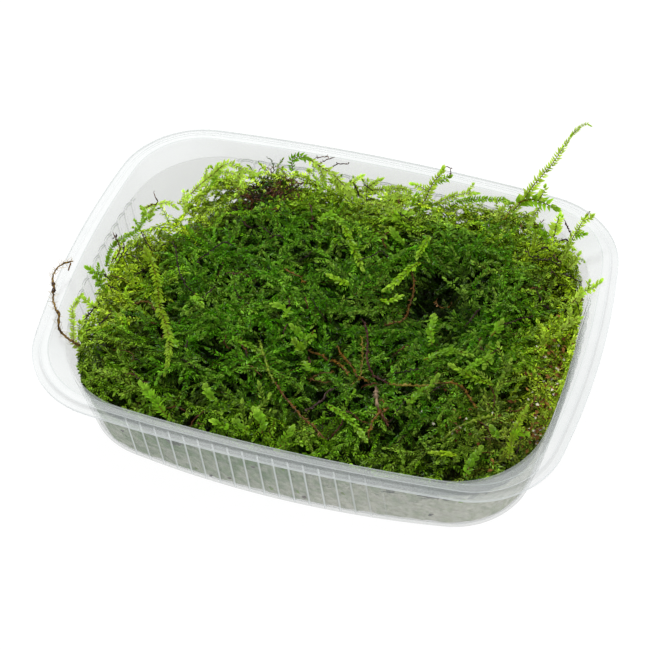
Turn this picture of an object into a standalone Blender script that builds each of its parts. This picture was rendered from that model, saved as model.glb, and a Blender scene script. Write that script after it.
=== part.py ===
"""A clump of aquatic moss in the shallow ribbed tub that it is kept in.

Metres, +Z up. The origin is the middle of the tub's footprint, on the surface
that the tub stands on; +X runs along the long side. Run it with
blender --background --python part.py
"""
import math
import random

import bmesh
import bpy
from mathutils import Vector, noise
from mathutils.bvhtree import BVHTree
from mathutils.geometry import delaunay_2d_cdt

# Tub, outside
RIM_LENGTH = 0.1790
RIM_DEPTH = 0.1354
TUB_HEIGHT = 0.0387
CORNER_RADIUS = 0.0296
BOW_SHORT = 0.0082             # how far a short side swells past its ends
BOW_LONG = 0.0060
SKIN = 0.0008                  # thickness of the plastic

# Rim, from its outer edge inwards
LEDGE_WIDTH = 0.0021
LEDGE_DROP = 0.0011            # the ledge lies this far below the band
BAND_WIDTH = 0.0029            # flat top band, inside the raised lip
LIP_WIDTH = 0.0003             # rise from the ledge to the band
SHOULDER_WIDTH = 0.0031
SHOULDER_DROP = 0.0048

# Wall, outer face, at the shoulder and at the floor
WALL_TOP_CORNER = 0.0310
WALL_FOOT_INSET = 0.0131       # from the rim's edge
WALL_FOOT_CORNER = 0.0265
WALL_FOOT_BOW_SHORT = 0.0062
WALL_FOOT_BOW_LONG = 0.0092
FOOT_ROUNDING = 0.0016

# Ribs: upright pillows side by side, on the four sides only
PANELS_LONG = 7
PANELS_SHORT = 4
RIBS_PER_PANEL = 3
RIB_BULGE = 0.0006
RIB_TOP = 0.0290
RIB_FOOT = 0.0050
CORNER_STEPS = 8

# Moss
GAP = 0.0003                   # clearance between neighbouring solids
HEAP_EDGE = 0.0250
HEAP_CROWN = 0.0115
HEAP_BACK_RISE = 0.0075        # the moss stands higher against the back wall
HEAP_LEFT_RISE = 0.0035
HEAP_HALF_LENGTH = 0.0860
HEAP_HALF_DEPTH = 0.0640
LUMP_HEIGHT = 0.0032
LUMP_SIZE = 0.0120
HEAP_GRID = 0.0068
HEAP_EDGE_ROOM = 0.45          # grid points stay this share of a grid step inside the edge
MOSS_PANELS_LONG = 15
MOSS_PANELS_SHORT = 10
MOSS_CORNER_STEPS = 4
EDGE_LEVEL = 0.0300            # height at which the top's outline is taken
EDGE_DROP = 0.0020             # the rounded edge of the heap, below its top
SIDE_RINGS = (0.0150, 0.0035)  # heights of the outlines down the side
UNDERSIDE = SKIN + 0.0004
UNDERSIDE_DRAW_IN = 0.0020

# Room between the wall and the moss: direction from the middle in degrees, room
MOSS_ROOM = ((-180, 0.0070), (-156, 0.0065), (-142, 0.0035), (-125, 0.0012), (-35, 0.0012),
             (15, 0.0015), (35, 0.0035), (55, 0.0035), (75, 0.0060), (118, 0.0060),
             (135, 0.0130), (148, 0.0190), (158, 0.0165), (168, 0.0085), (180, 0.0070))

# Leafy shoots in the surface of the clump
SURFACE_SHOOTS = 34
SURFACE_SHOOT_TRIES = 5000
SURFACE_SHOOT_LENGTHS = (0.020, 0.030)
SURFACE_SHOOT_CURL = 0.8       # the most that a shoot turns over its length, in radians
SURFACE_SHOOT_ARCHES = (0.0022, 0.0044)
SURFACE_SHOOT_DIP = 0.0022     # how far both ends lie below the heap
SURFACE_SHOOT_HALF_WIDTH = 0.0030
SURFACE_SHOOT_BASE = 0.5
SHOOT_HALF_WIDTH = 0.0023
SHOOT_BASE = 0.3               # width at the base, as a share of the full width
SHOOT_TIP = 0.35
SHOOT_NOTCH = 0.50             # width between two leaves, as a share of the full width
LEAF_LEAN = 0.35               # how far a leaf's point leans forward, in half widths
SHOOT_HALF_THICKNESS = 0.0012
SURFACE_LEAF_STEP = 0.0034
SINGLE_LEAF_STEP = 0.0022
FIELD_MARGIN = 0.0050          # the surface shoots stay this far inside the moss's edge
SHOOT_SPACING = 0.0135

# Ways of the single shoots, from the moss to the tip
TALL_SHOOT = [(0.0462, 0.0500, 0.036), (0.0508, 0.0562, 0.043), (0.0532, 0.0581, 0.048),
              (0.0555, 0.0590, 0.052), (0.0586, 0.0604, 0.0575), (0.0610, 0.0616, 0.063),
              (0.0636, 0.0632, 0.069), (0.0659, 0.0640, 0.0725), (0.0681, 0.0638, 0.075),
              (0.0697, 0.0639, 0.0745)]
BACK_SHOOT = [(0.0164, 0.0482, 0.036), (0.0185, 0.0492, 0.040), (0.0194, 0.0508, 0.043),
              (0.0208, 0.0519, 0.047), (0.0228, 0.0526, 0.050), (0.0234, 0.0534, 0.052)]
RIGHT_SHOOT = [(0.0682, 0.0401, 0.033), (0.0691, 0.0431, 0.038), (0.0700, 0.0451, 0.043),
               (0.0719, 0.0453, 0.050), (0.0740, 0.0458, 0.053)]
PALE_TUFT_SHOOT = [(0.0645, 0.0438, 0.036), (0.0647, 0.0449, 0.0425), (0.0649, 0.0458, 0.047),
                   (0.0650, 0.0461, 0.051)]
BACK_ARCH = [(-0.0271, 0.0450, 0.038), (-0.0271, 0.0472, 0.044), (-0.0276, 0.0480, 0.048),
             (-0.0250, 0.0485, 0.050), (-0.0221, 0.0492, 0.049), (-0.0185, 0.0490, 0.047),
             (-0.0127, 0.0477, 0.045), (-0.0078, 0.0459, 0.042), (-0.0047, 0.0452, 0.038)]
BACK_LEFT_ARCH = [(-0.0590, 0.0262, 0.036), (-0.0587, 0.0315, 0.0395), (-0.0565, 0.0352, 0.041),
                  (-0.0531, 0.0391, 0.043), (-0.0504, 0.0422, 0.045), (-0.0481, 0.0436, 0.045),
                  (-0.0444, 0.0442, 0.043), (-0.0400, 0.0448, 0.042)]
LEFT_LONG_SHOOT = [(-0.0645, 0.0028, 0.039), (-0.0595, -0.0032, 0.041), (-0.0542, -0.0126, 0.042),
                   (-0.0500, -0.0216, 0.042), (-0.0458, -0.0273, 0.041), (-0.0435, -0.0316, 0.040),
                   (-0.0415, -0.0386, 0.039), (-0.0413, -0.0421, 0.037)]
LEFT_PALE_SHOOT = [(-0.0461, -0.0498, 0.037), (-0.0424, -0.0520, 0.037), (-0.0375, -0.0545, 0.036)]
FRONT_RIGHT_SHOOT = [(0.0693, -0.0372, 0.035), (0.0702, -0.0325, 0.038), (0.0717, -0.0238, 0.036)]

# Ways of the bare stems that lie on the moss; their height follows the moss
YELLOW_STEM = [(-0.0148, -0.0253), (-0.0067, -0.0378), (0.0015, -0.0447), (0.0102, -0.0500),
               (0.0165, -0.0530)]
ORANGE_STEM = [(0.0001, -0.0237), (0.0052, -0.0252), (0.0110, -0.0269), (0.0160, -0.0290),
               (0.0212, -0.0318)]
ORANGE_BRANCH = [(0.0089, -0.0160), (0.0127, -0.0200), (0.0150, -0.0236)]
PURPLE_STEM = [(0.0087, -0.0440), (0.0100, -0.0385), (0.0149, -0.0350), (0.0185, -0.0345)]
LONG_STEM = [(0.0192, -0.0076), (0.0209, -0.0180), (0.0235, -0.0262), (0.0302, -0.0302),
             (0.0384, -0.0282), (0.0440, -0.0252), (0.0517, -0.0250), (0.0560, -0.0287)]
THICK_STEM = [(0.0258, -0.0337), (0.0287, -0.0408), (0.0316, -0.0440)]
CURVED_STEM = [(0.0225, 0.0178), (0.0257, 0.0101), (0.0265, 0.0027), (0.0263, -0.0020),
               (0.0225, -0.0040)]
GREEN_STALK = [(0.0495, -0.0439), (0.0531, -0.0398), (0.0581, -0.0348), (0.0625, -0.0308)]
TUFT_RHIZOIDS = [
    [(-0.0460, 0.0400), (-0.0410, 0.0425), (-0.0350, 0.0425), (-0.0310, 0.0450)],
    [(-0.0450, 0.0335), (-0.0412, 0.0358), (-0.0388, 0.0388)],
    [(-0.0335, 0.0340), (-0.0342, 0.0368), (-0.0335, 0.0392)],
]
STEM_RADIUS = 0.0005
THICK_STEM_RADIUS = 0.0009
STEM_STEP = 0.0032
STEM_SIDES = 5

# The wiry root starts in the moss, rises over the rim and curls back
LEFT_ROOT = [(-0.0690, -0.0358, 0.033), (-0.0711, -0.0372, 0.035), (-0.0739, -0.0384, 0.0375),
             (-0.0759, -0.0391, 0.0398), (-0.0776, -0.0389, 0.0415), (-0.0793, -0.0359, 0.0425),
             (-0.0819, -0.0319, 0.0435), (-0.0838, -0.0289, 0.0445), (-0.0859, -0.0234, 0.0455),
             (-0.0870, -0.0197, 0.046), (-0.0864, -0.0145, 0.045), (-0.0838, -0.0113, 0.0435)]
ROOT_RADIUS = 0.0005
ROOT_TAPER = 0.35              # share of its radius that the root loses towards its tip
STEM_END = 0.65                # radius at both ends of a stem, as a share of the full radius

# Ways that the flat side of a shoot can face
UPWARD = Vector((0, 0, 1))
FRONTWARD = Vector((0.21, -0.61, 0.76))

MILKY = (0.78, 0.82, 0.77)
DEEP_GREEN = (0.045, 0.13, 0.010)
LEAF_GREEN = (0.16, 0.36, 0.020)
PALE_GREEN = (0.38, 0.58, 0.070)
BROWN = (0.13, 0.050, 0.018)
ORANGE_BROWN = (0.33, 0.12, 0.030)
PURPLE_BROWN = (0.10, 0.025, 0.035)
DARK_BROWN = (0.045, 0.022, 0.012)
STRAW = (0.42, 0.36, 0.060)


def clear_scene():
    for old in list(bpy.data.objects):
        bpy.data.objects.remove(old, do_unlink=True)


def material(name, colour, roughness, alpha=1.0):
    made = bpy.data.materials.new(name)
    made.use_nodes = True
    shader = made.node_tree.nodes["Principled BSDF"]
    shader.inputs["Base Color"].default_value = (*colour, 1.0)
    shader.inputs["Roughness"].default_value = roughness
    shader.inputs["Metallic"].default_value = 0.0
    shader.inputs["Alpha"].default_value = alpha
    return made


def add_object(name, mesh_source, look, smooth_angle=None):
    """Closes a bmesh into an object whose faces point outwards."""
    bmesh.ops.recalc_face_normals(mesh_source, faces=mesh_source.faces)
    bmesh.ops.triangulate(mesh_source, faces=mesh_source.faces, ngon_method="BEAUTY")
    mesh = bpy.data.meshes.new(name)
    mesh_source.to_mesh(mesh)
    mesh_source.free()
    mesh.materials.append(look)
    if smooth_angle is not None:
        mesh.shade_smooth()
        mesh.set_sharp_from_angle(angle=smooth_angle)
    made = bpy.data.objects.new(name, mesh)
    bpy.context.scene.collection.objects.link(made)
    return made


def arc(centre_x, centre_y, radius, start, end, steps):
    """Points with their outward normals, without the last one."""
    made = []
    for index in range(steps):
        angle = start + (end - start) * index / steps
        normal = Vector((math.cos(angle), math.sin(angle)))
        made.append((Vector((centre_x, centre_y)) + normal * radius, normal))
    return made


def outline(half_length, half_depth, corner, bow_short, bow_long, inset, steps):
    """A rectangle with bowed sides and round corners, and its parallel insets.

    The bowed sides are arcs, and each corner is an arc that touches both. steps
    holds the number of points on a long side, a short side and a corner.
    """
    radius_short = (half_depth ** 2 + bow_short ** 2) / (2 * bow_short) - inset
    radius_long = (half_length ** 2 + bow_long ** 2) / (2 * bow_long) - inset
    half_length -= inset
    half_depth -= inset
    corner -= inset
    short_centre = half_length - radius_short
    long_centre = half_depth - radius_long
    reach_short = radius_short - corner
    reach_long = radius_long - corner
    # the corner's centre lies on a circle round each side's centre
    span = math.hypot(short_centre, long_centre)
    along = (span ** 2 + reach_short ** 2 - reach_long ** 2) / (2 * span)
    across = math.sqrt(reach_short ** 2 - along ** 2)
    toward = Vector((-short_centre, long_centre)) / span
    beside = Vector((-toward.y, toward.x))
    if beside.x + beside.y < 0:
        beside = -beside
    centre = Vector((short_centre, 0)) + toward * along + beside * across
    turn_short = math.atan2(centre.y, centre.x - short_centre)
    turn_long = math.atan2(centre.y - long_centre, centre.x)
    long_steps, short_steps, corner_steps = steps
    pi = math.pi
    points = []
    points += arc(short_centre, 0, radius_short, -turn_short, turn_short, short_steps)
    points += arc(centre.x, centre.y, corner, turn_short, turn_long, corner_steps)
    points += arc(0, long_centre, radius_long, turn_long, pi - turn_long, long_steps)
    points += arc(-centre.x, centre.y, corner, pi - turn_long, pi - turn_short, corner_steps)
    points += arc(-short_centre, 0, radius_short, pi - turn_short, pi + turn_short, short_steps)
    points += arc(-centre.x, -centre.y, corner, pi + turn_short, pi + turn_long, corner_steps)
    points += arc(0, -long_centre, radius_long, pi + turn_long, 2 * pi - turn_long, long_steps)
    points += arc(centre.x, -centre.y, corner, 2 * pi - turn_long, 2 * pi - turn_short,
                  corner_steps)
    return points


def mix(first, second, share):
    return first + (second - first) * share


RIM_INSET_AT_WALL = LEDGE_WIDTH + LIP_WIDTH + BAND_WIDTH + SHOULDER_WIDTH
WALL_TOP = TUB_HEIGHT - SHOULDER_DROP


def wall_outline(height, inset, steps):
    """The wall's outer face at a height, or a parallel inset of it."""
    share = min(height / WALL_TOP, 1.0)
    top_inset = RIM_INSET_AT_WALL - SKIN
    return outline(
        RIM_LENGTH / 2 - mix(WALL_FOOT_INSET, top_inset, share),
        RIM_DEPTH / 2 - mix(WALL_FOOT_INSET, top_inset, share),
        mix(WALL_FOOT_CORNER, WALL_TOP_CORNER, share),
        mix(WALL_FOOT_BOW_SHORT, BOW_SHORT, share),
        mix(WALL_FOOT_BOW_LONG, BOW_LONG, share),
        inset, steps)


COARSE = (PANELS_LONG, PANELS_SHORT, CORNER_STEPS)
FINE = (PANELS_LONG * RIBS_PER_PANEL * 2, PANELS_SHORT * RIBS_PER_PANEL * 2, CORNER_STEPS)


def rim_loop(bm, inset, height):
    points = outline(RIM_LENGTH / 2, RIM_DEPTH / 2, CORNER_RADIUS, BOW_SHORT, BOW_LONG,
                     inset, COARSE)
    return [bm.verts.new((point.x, point.y, height)) for point, normal in points]


def wall_loop(bm, inset, height):
    points = wall_outline(height, inset, COARSE)
    return [bm.verts.new((point.x, point.y, height)) for point, normal in points]


def ribbed_loop(bm, inset, height):
    """A wall loop with a crease, a crest and a crease to each rib."""
    side_of = []
    for side_steps in (FINE[1], FINE[0]) * 2:
        side_of += [True] * side_steps + [False] * CORNER_STEPS
    first_of_side = 0
    loop = []
    for index, (point, normal) in enumerate(wall_outline(height, inset, FINE)):
        if index > 0 and side_of[index] and not side_of[index - 1]:
            first_of_side = index
        crest = side_of[index] and (index - first_of_side) % 2 == 1
        place = point + normal * (RIB_BULGE if crest else 0.0)
        loop.append(bm.verts.new((place.x, place.y, height)))
    return loop


def bridge(bm, lower, upper):
    """Faces between two loops; a ribbed loop has more points on its sides only."""
    if len(lower) == len(upper):
        for index in range(len(lower)):
            after = (index + 1) % len(lower)
            bm.faces.new((lower[index], lower[after], upper[after], upper[index]))
        return
    coarse, fine = (lower, upper) if len(lower) < len(upper) else (upper, lower)
    start = 0
    index = 0
    for panels in (PANELS_SHORT, PANELS_LONG) * 2:
        for ribs in [RIBS_PER_PANEL * 2] * panels + [1] * CORNER_STEPS:
            edge = [fine[(start + step) % len(fine)] for step in range(ribs, -1, -1)]
            face = [coarse[index], coarse[(index + 1) % len(coarse)]] + edge
            bm.faces.new(face)
            start += ribs
            index += 1


def make_tub(look):
    bm = bmesh.new()
    lip = LEDGE_WIDTH + LIP_WIDTH
    band = lip + BAND_WIDTH
    ledge_top = TUB_HEIGHT - LEDGE_DROP
    floor_top = SKIN
    loops = [
        wall_loop(bm, FOOT_ROUNDING, 0.0),
        wall_loop(bm, 0.0, FOOT_ROUNDING),
        ribbed_loop(bm, 0.0, RIB_FOOT),
        ribbed_loop(bm, 0.0, RIB_TOP),
        wall_loop(bm, 0.0, WALL_TOP - SKIN),
        rim_loop(bm, band - SKIN / 2, TUB_HEIGHT - SKIN),
        rim_loop(bm, lip + SKIN / 2, TUB_HEIGHT - SKIN),
        rim_loop(bm, LEDGE_WIDTH, ledge_top - SKIN),
        rim_loop(bm, 0.0, ledge_top - SKIN),
        rim_loop(bm, 0.0, ledge_top),
        rim_loop(bm, LEDGE_WIDTH, ledge_top),
        rim_loop(bm, lip, TUB_HEIGHT),
        rim_loop(bm, band, TUB_HEIGHT),
        wall_loop(bm, SKIN, WALL_TOP),
        ribbed_loop(bm, SKIN, RIB_TOP),
        ribbed_loop(bm, SKIN, RIB_FOOT),
        wall_loop(bm, SKIN, floor_top + FOOT_ROUNDING),
        wall_loop(bm, SKIN + FOOT_ROUNDING, floor_top),
    ]
    for lower, upper in zip(loops, loops[1:]):
        bridge(bm, lower, upper)
    bm.faces.new(loops[0])
    bm.faces.new(loops[-1])
    return add_object("tub", bm, look, math.radians(20))


def heap_height(x, y):
    """The top of the moss: a low crown with lumps."""
    along = max(0.0, 1 - (abs(x) / HEAP_HALF_LENGTH) ** 3)
    across = max(0.0, 1 - (abs(y) / HEAP_HALF_DEPTH) ** 3)
    crown = HEAP_EDGE + HEAP_CROWN * math.sqrt(along * across)
    rise = HEAP_BACK_RISE * max(0.0, y / HEAP_HALF_DEPTH) ** 2
    rise += HEAP_LEFT_RISE * max(0.0, -x / HEAP_HALF_LENGTH) ** 2
    lump = noise.noise(Vector((x / LUMP_SIZE, y / LUMP_SIZE, 0.7)))
    return crown + rise + LUMP_HEIGHT * lump


MOSS_STEPS = (MOSS_PANELS_LONG, MOSS_PANELS_SHORT, MOSS_CORNER_STEPS)


def room_at(place):
    """Room between the wall and the moss, by the direction from the middle."""
    degrees = math.degrees(math.atan2(place.y, place.x))
    for (first, near), (second, far) in zip(MOSS_ROOM, MOSS_ROOM[1:]):
        if degrees <= second:
            return mix(near, far, (degrees - first) / (second - first))
    return MOSS_ROOM[-1][1]


def moss_edge(height, draw_in=0.0):
    """The moss's outline at a height: near the wall in front, further off at the back left."""
    edge = []
    for point, normal in wall_outline(height, SKIN, MOSS_STEPS):
        room = room_at(point) + draw_in
        edge.append(point * (1 - room / point.length))
    return edge


def distance_inside(edge, place):
    """How far a place lies inside the edge, along the line from the middle."""
    for corner, after in zip(edge, edge[1:] + edge[:1]):
        if corner.cross(place) >= 0 and place.cross(after) > 0:
            side = after - corner
            return place.length * (corner.cross(side) / place.cross(side) - 1)
    return RIM_DEPTH / 2


def heap_grid(edge):
    """Points of a triangular grid that lie well inside the edge."""
    points = []
    row_step = HEAP_GRID * math.sqrt(3) / 2
    rows = int(RIM_DEPTH / row_step)
    columns = int(RIM_LENGTH / HEAP_GRID)
    for row in range(-rows // 2, rows // 2 + 1):
        for column in range(-columns // 2, columns // 2 + 1):
            place = Vector(((column + 0.5 * (row % 2)) * HEAP_GRID, row * row_step))
            if distance_inside(edge, place) > HEAP_GRID * HEAP_EDGE_ROOM:
                points.append(place)
    return points


def make_heap(look):
    """The mass of the moss without the shoots in its surface."""
    bm = bmesh.new()
    edge = moss_edge(EDGE_LEVEL)
    count = len(edge)
    ring = [(index, (index + 1) % count) for index in range(count)]
    flat = edge + heap_grid(edge)
    places, _, faces, *_ = delaunay_2d_cdt(flat, ring, [], 1, 1e-7)
    top = []
    for index, place in enumerate(places):
        drop = EDGE_DROP if index < count else 0.0
        top.append(bm.verts.new((place.x, place.y, heap_height(place.x, place.y) - drop)))
    for face in faces:
        bm.faces.new([top[index] for index in face])
    upper = top[:count]
    rings = [(height, 0.0) for height in SIDE_RINGS] + [(UNDERSIDE, UNDERSIDE_DRAW_IN)]
    for height, draw_in in rings:
        places = moss_edge(height, draw_in)
        lower = [bm.verts.new((place.x, place.y, height)) for place in places]
        for index in range(count):
            after = (index + 1) % count
            bm.faces.new((lower[index], lower[after], upper[after], upper[index]))
        upper = lower
    bm.faces.new(upper)
    return add_object("moss_clump", bm, look)


def smooth_way(points, step):
    """Evenly spaced points on a smooth curve through the given ones."""
    way = [Vector(point) for point in points]
    ends = [way[0] * 2 - way[1]] + way + [way[-1] * 2 - way[-2]]
    dense = []
    pieces = 12
    for index in range(len(way) - 1):
        before, start, end, after = ends[index:index + 4]
        for piece in range(pieces):
            t = piece / pieces
            dense.append(0.5 * (2 * start + (end - before) * t
                                + (2 * before - 5 * start + 4 * end - after) * t ** 2
                                + (3 * start - 3 * end + after - before) * t ** 3))
    dense.append(way[-1])
    lengths = [0.0]
    for first, second in zip(dense, dense[1:]):
        lengths.append(lengths[-1] + (second - first).length)
    count = max(2, round(lengths[-1] / step))
    even = []
    for index in range(count + 1):
        target = lengths[-1] * index / count
        place = next(i for i in range(1, len(dense)) if lengths[i] >= target - 1e-9)
        share = (target - lengths[place - 1]) / (lengths[place] - lengths[place - 1])
        even.append(dense[place - 1].lerp(dense[place], share))
    return even


def tangent(way, index):
    return (way[min(index + 1, len(way) - 1)] - way[max(index - 1, 0)]).normalized()


def add_tube(bm, way, radii, sides):
    """A closed round tube along a way, with a radius for each of its points."""
    loops = []
    for index, place in enumerate(way):
        forward = tangent(way, index)
        side = forward.cross(Vector((0.13, 0.21, 0.97))).normalized()
        up = side.cross(forward)
        loop = []
        for number in range(sides):
            angle = 2 * math.pi * number / sides
            offset = side * math.cos(angle) + up * math.sin(angle)
            loop.append(bm.verts.new(place + offset * radii[index]))
        loops.append(loop)
    for first, second in zip(loops, loops[1:]):
        for number in range(sides):
            after = (number + 1) % sides
            bm.faces.new((first[number], first[after], second[after], second[number]))
    bm.faces.new(list(reversed(loops[0])))
    bm.faces.new(loops[-1])


def add_leafy_shoot(bm, way, facing, full_width, base_width):
    """A closed strip with leaf points along both edges and a raised midrib."""
    last = len(way) - 1
    loops = []
    for index, place in enumerate(way):
        share = index / last
        forward = tangent(way, index)
        side = forward.cross(facing).normalized()
        up = side.cross(forward)
        taper = min(1.0, base_width + share * 4, SHOOT_TIP + (1 - share) * 3)
        notch = 1.0 if index % 2 else SHOOT_NOTCH
        width = full_width * taper * notch
        lean = forward * (full_width * LEAF_LEAN if index % 2 else 0.0)
        rise = SHOOT_HALF_THICKNESS * max(taper, 0.4) * full_width / SHOOT_HALF_WIDTH
        corners = (side * width + lean, up * rise, -side * width + lean, -up * rise)
        loops.append([bm.verts.new(place + corner) for corner in corners])
    for first, second in zip(loops, loops[1:]):
        for number in range(4):
            after = (number + 1) % 4
            bm.faces.new((first[number], first[after], second[after], second[number]))
    bm.faces.new(list(reversed(loops[0])))
    bm.faces.new(loops[-1])


def surface_way(chance, x, y):
    """A short curved way over the heap whose ends dip below it."""
    heading = chance.uniform(0, 2 * math.pi)
    length = chance.uniform(*SURFACE_SHOOT_LENGTHS)
    curl = chance.uniform(-SURFACE_SHOOT_CURL, SURFACE_SHOOT_CURL)
    arch = chance.uniform(*SURFACE_SHOOT_ARCHES)
    way = []
    for index in range(5):
        share = index / 4 - 0.5
        turn = heading + curl * share
        px = x + math.cos(turn) * length * share
        py = y + math.sin(turn) * length * share
        dip = (2 * share) ** 2 * (arch + SURFACE_SHOOT_DIP)
        way.append((px, py, heap_height(px, py) + arch - dip))
    return way


def make_surface_shoots(look):
    """Shoots that arch out of the heap and dip back in, as one guide body."""
    bm = bmesh.new()
    chance = random.Random(11)
    edge = moss_edge(EDGE_LEVEL)
    placed = []
    tries = 0
    while len(placed) < SURFACE_SHOOTS and tries < SURFACE_SHOOT_TRIES:
        tries += 1
        x = chance.uniform(-HEAP_HALF_LENGTH, HEAP_HALF_LENGTH)
        y = chance.uniform(-HEAP_HALF_DEPTH, HEAP_HALF_DEPTH)
        way = surface_way(chance, x, y)
        near = any(math.hypot(x - other_x, y - other_y) < SHOOT_SPACING
                   for other_x, other_y in placed)
        inside = all(distance_inside(edge, Vector(point[:2])) > FIELD_MARGIN for point in way)
        if near or not inside:
            continue
        placed.append((x, y))
        even = smooth_way(way, SURFACE_LEAF_STEP)
        add_leafy_shoot(bm, even, UPWARD, SURFACE_SHOOT_HALF_WIDTH, SURFACE_SHOOT_BASE)
    guide = add_object("surface_shoots", bm, look)
    guide.hide_render = True
    guide.display_type = "WIRE"
    return guide


def make_moss(look):
    heap = make_heap(look)
    shoots = make_surface_shoots(look)
    union = heap.modifiers.new("shoots", "BOOLEAN")
    union.operation = "UNION"
    union.solver = "EXACT"
    union.use_self = True
    union.object = shoots
    return heap


def surface_of(made):
    """The evaluated shape of an object, ready to be measured from above."""
    graph = bpy.context.evaluated_depsgraph_get()
    graph.update()
    return BVHTree.FromObject(made, graph)


def top_at(surface, x, y):
    hit = surface.ray_cast(Vector((x, y, 0.2)), Vector((0, 0, -1)))
    return hit[0].z if hit[0] else 0.0


def rest_height(surface, way, index, radius):
    """The lowest height at which a round stem clears the moss round this point."""
    reach = radius + GAP
    here = way[index]
    highest = 0.0
    for other in (way[max(index - 1, 0)], way[min(index + 1, len(way) - 1)]):
        for step in range(7):
            spot = here.lerp(other, step / 6)
            for dx, dy in ((0, 0), (reach, 0), (-reach, 0), (0, reach), (0, -reach)):
                highest = max(highest, top_at(surface, spot.x + dx, spot.y + dy))
    return highest + reach


def lay_stem(surface, points, radius):
    way = smooth_way([(x, y, 0.0) for x, y in points], STEM_STEP)
    heights = [rest_height(surface, way, index, radius) for index in range(len(way))]
    return [Vector((place.x, place.y, height)) for place, height in zip(way, heights)]


def make_stem(name, surface, points, look, radius=STEM_RADIUS):
    bm = bmesh.new()
    way = lay_stem(surface, points, radius)
    radii = [radius] * len(way)
    radii[0] = radii[-1] = radius * STEM_END
    add_tube(bm, way, radii, STEM_SIDES)
    return add_object(name, bm, look, math.radians(60))


def make_single_shoot(name, surface, points, look, facing, width, lands=False):
    """A shoot that starts on the moss, stands clear of it, and may land on it again."""
    way = smooth_way(points, SINGLE_LEAF_STEP)
    last = len(way) - 1
    for index, place in enumerate(way):
        at_end = index == 0 or (lands and index == last)
        radius = SHOOT_HALF_THICKNESS if at_end else width * 0.9
        clear = rest_height(surface, way, index, radius)
        if at_end or place.z < clear:
            place.z = clear
    bm = bmesh.new()
    add_leafy_shoot(bm, way, facing, width, SHOOT_BASE)
    return add_object(name, bm, look)


def make_root(surface, look):
    way = smooth_way(LEFT_ROOT, STEM_STEP)
    way[0].z = rest_height(surface, way, 0, ROOT_RADIUS)
    bm = bmesh.new()
    radii = [ROOT_RADIUS * (1.0 - ROOT_TAPER * index / len(way)) for index in range(len(way))]
    add_tube(bm, way, radii, STEM_SIDES)
    return add_object("wiry_root", bm, look, math.radians(60))


def make_all():
    clear_scene()
    plastic = material("milky_plastic", MILKY, 0.35, alpha=0.45)
    deep = material("moss_mass", DEEP_GREEN, 0.6)
    leaf = material("moss_leaf", LEAF_GREEN, 0.5)
    pale = material("moss_leaf_pale", PALE_GREEN, 0.5)
    brown = material("stem_brown", BROWN, 0.5)
    orange = material("stem_orange_brown", ORANGE_BROWN, 0.5)
    purple = material("stem_purple_brown", PURPLE_BROWN, 0.5)
    dark = material("rhizoid_dark", DARK_BROWN, 0.7)
    straw = material("stem_straw", STRAW, 0.5)

    make_tub(plastic)
    moss = make_moss(deep)
    surface = surface_of(moss)

    full = SHOOT_HALF_WIDTH
    slim = SHOOT_HALF_WIDTH * 0.8
    make_single_shoot("tall_shoot", surface, TALL_SHOOT, pale, FRONTWARD, full)
    make_single_shoot("back_shoot", surface, BACK_SHOOT, pale, FRONTWARD, full)
    make_single_shoot("right_shoot", surface, RIGHT_SHOOT, leaf, FRONTWARD, slim)
    make_single_shoot("pale_tuft_shoot", surface, PALE_TUFT_SHOOT, pale, FRONTWARD, full)
    make_single_shoot("back_arch_shoot", surface, BACK_ARCH, pale, FRONTWARD, slim, True)
    make_single_shoot("back_left_shoot", surface, BACK_LEFT_ARCH, leaf, FRONTWARD, slim, True)
    make_single_shoot("left_long_shoot", surface, LEFT_LONG_SHOOT, pale, UPWARD, slim, True)
    make_single_shoot("left_pale_shoot", surface, LEFT_PALE_SHOOT, pale, UPWARD, full, True)
    make_single_shoot("front_right_shoot", surface, FRONT_RIGHT_SHOOT, leaf, UPWARD, full, True)

    make_stem("yellow_stem", surface, YELLOW_STEM, straw)
    make_stem("orange_stem", surface, ORANGE_STEM, orange)
    make_stem("orange_stem_branch", surface, ORANGE_BRANCH, orange)
    make_stem("purple_stem", surface, PURPLE_STEM, purple)
    make_stem("long_stem", surface, LONG_STEM, brown)
    make_stem("thick_stem", surface, THICK_STEM, brown, THICK_STEM_RADIUS)
    make_stem("curved_stem", surface, CURVED_STEM, brown)
    make_stem("green_stalk", surface, GREEN_STALK, straw, THICK_STEM_RADIUS)
    for number, points in enumerate(TUFT_RHIZOIDS):
        make_stem(f"rhizoid_{number + 1}", surface, points, dark, THICK_STEM_RADIUS)
    make_root(surface, dark)


make_all()
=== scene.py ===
"""The looks of a moss clump in its ribbed tub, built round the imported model.

Metres, +Z up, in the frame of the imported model. Every leaf and stem is mesh: the
shoots are drawn first as ways over the heap, and each way then gets its leaves.
"""
import math

import bpy
import numpy as np
from mathutils import Matrix, Vector, noise

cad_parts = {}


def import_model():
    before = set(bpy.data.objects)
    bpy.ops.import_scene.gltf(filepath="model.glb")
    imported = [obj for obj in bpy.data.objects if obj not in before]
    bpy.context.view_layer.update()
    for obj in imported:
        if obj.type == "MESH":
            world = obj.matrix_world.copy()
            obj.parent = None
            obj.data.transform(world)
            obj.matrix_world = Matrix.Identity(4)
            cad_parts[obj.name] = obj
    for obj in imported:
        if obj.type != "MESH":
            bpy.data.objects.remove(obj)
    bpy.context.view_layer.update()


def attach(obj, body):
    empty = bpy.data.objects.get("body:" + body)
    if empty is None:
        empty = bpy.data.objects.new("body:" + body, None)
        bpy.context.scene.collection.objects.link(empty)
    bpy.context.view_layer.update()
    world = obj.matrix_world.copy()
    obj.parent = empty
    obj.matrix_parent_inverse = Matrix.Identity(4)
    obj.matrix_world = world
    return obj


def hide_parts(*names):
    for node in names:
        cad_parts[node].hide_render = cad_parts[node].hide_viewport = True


# The photograph's camera
CAMERA_PLACE = (0.147094, -0.427891, 0.556136)
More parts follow.
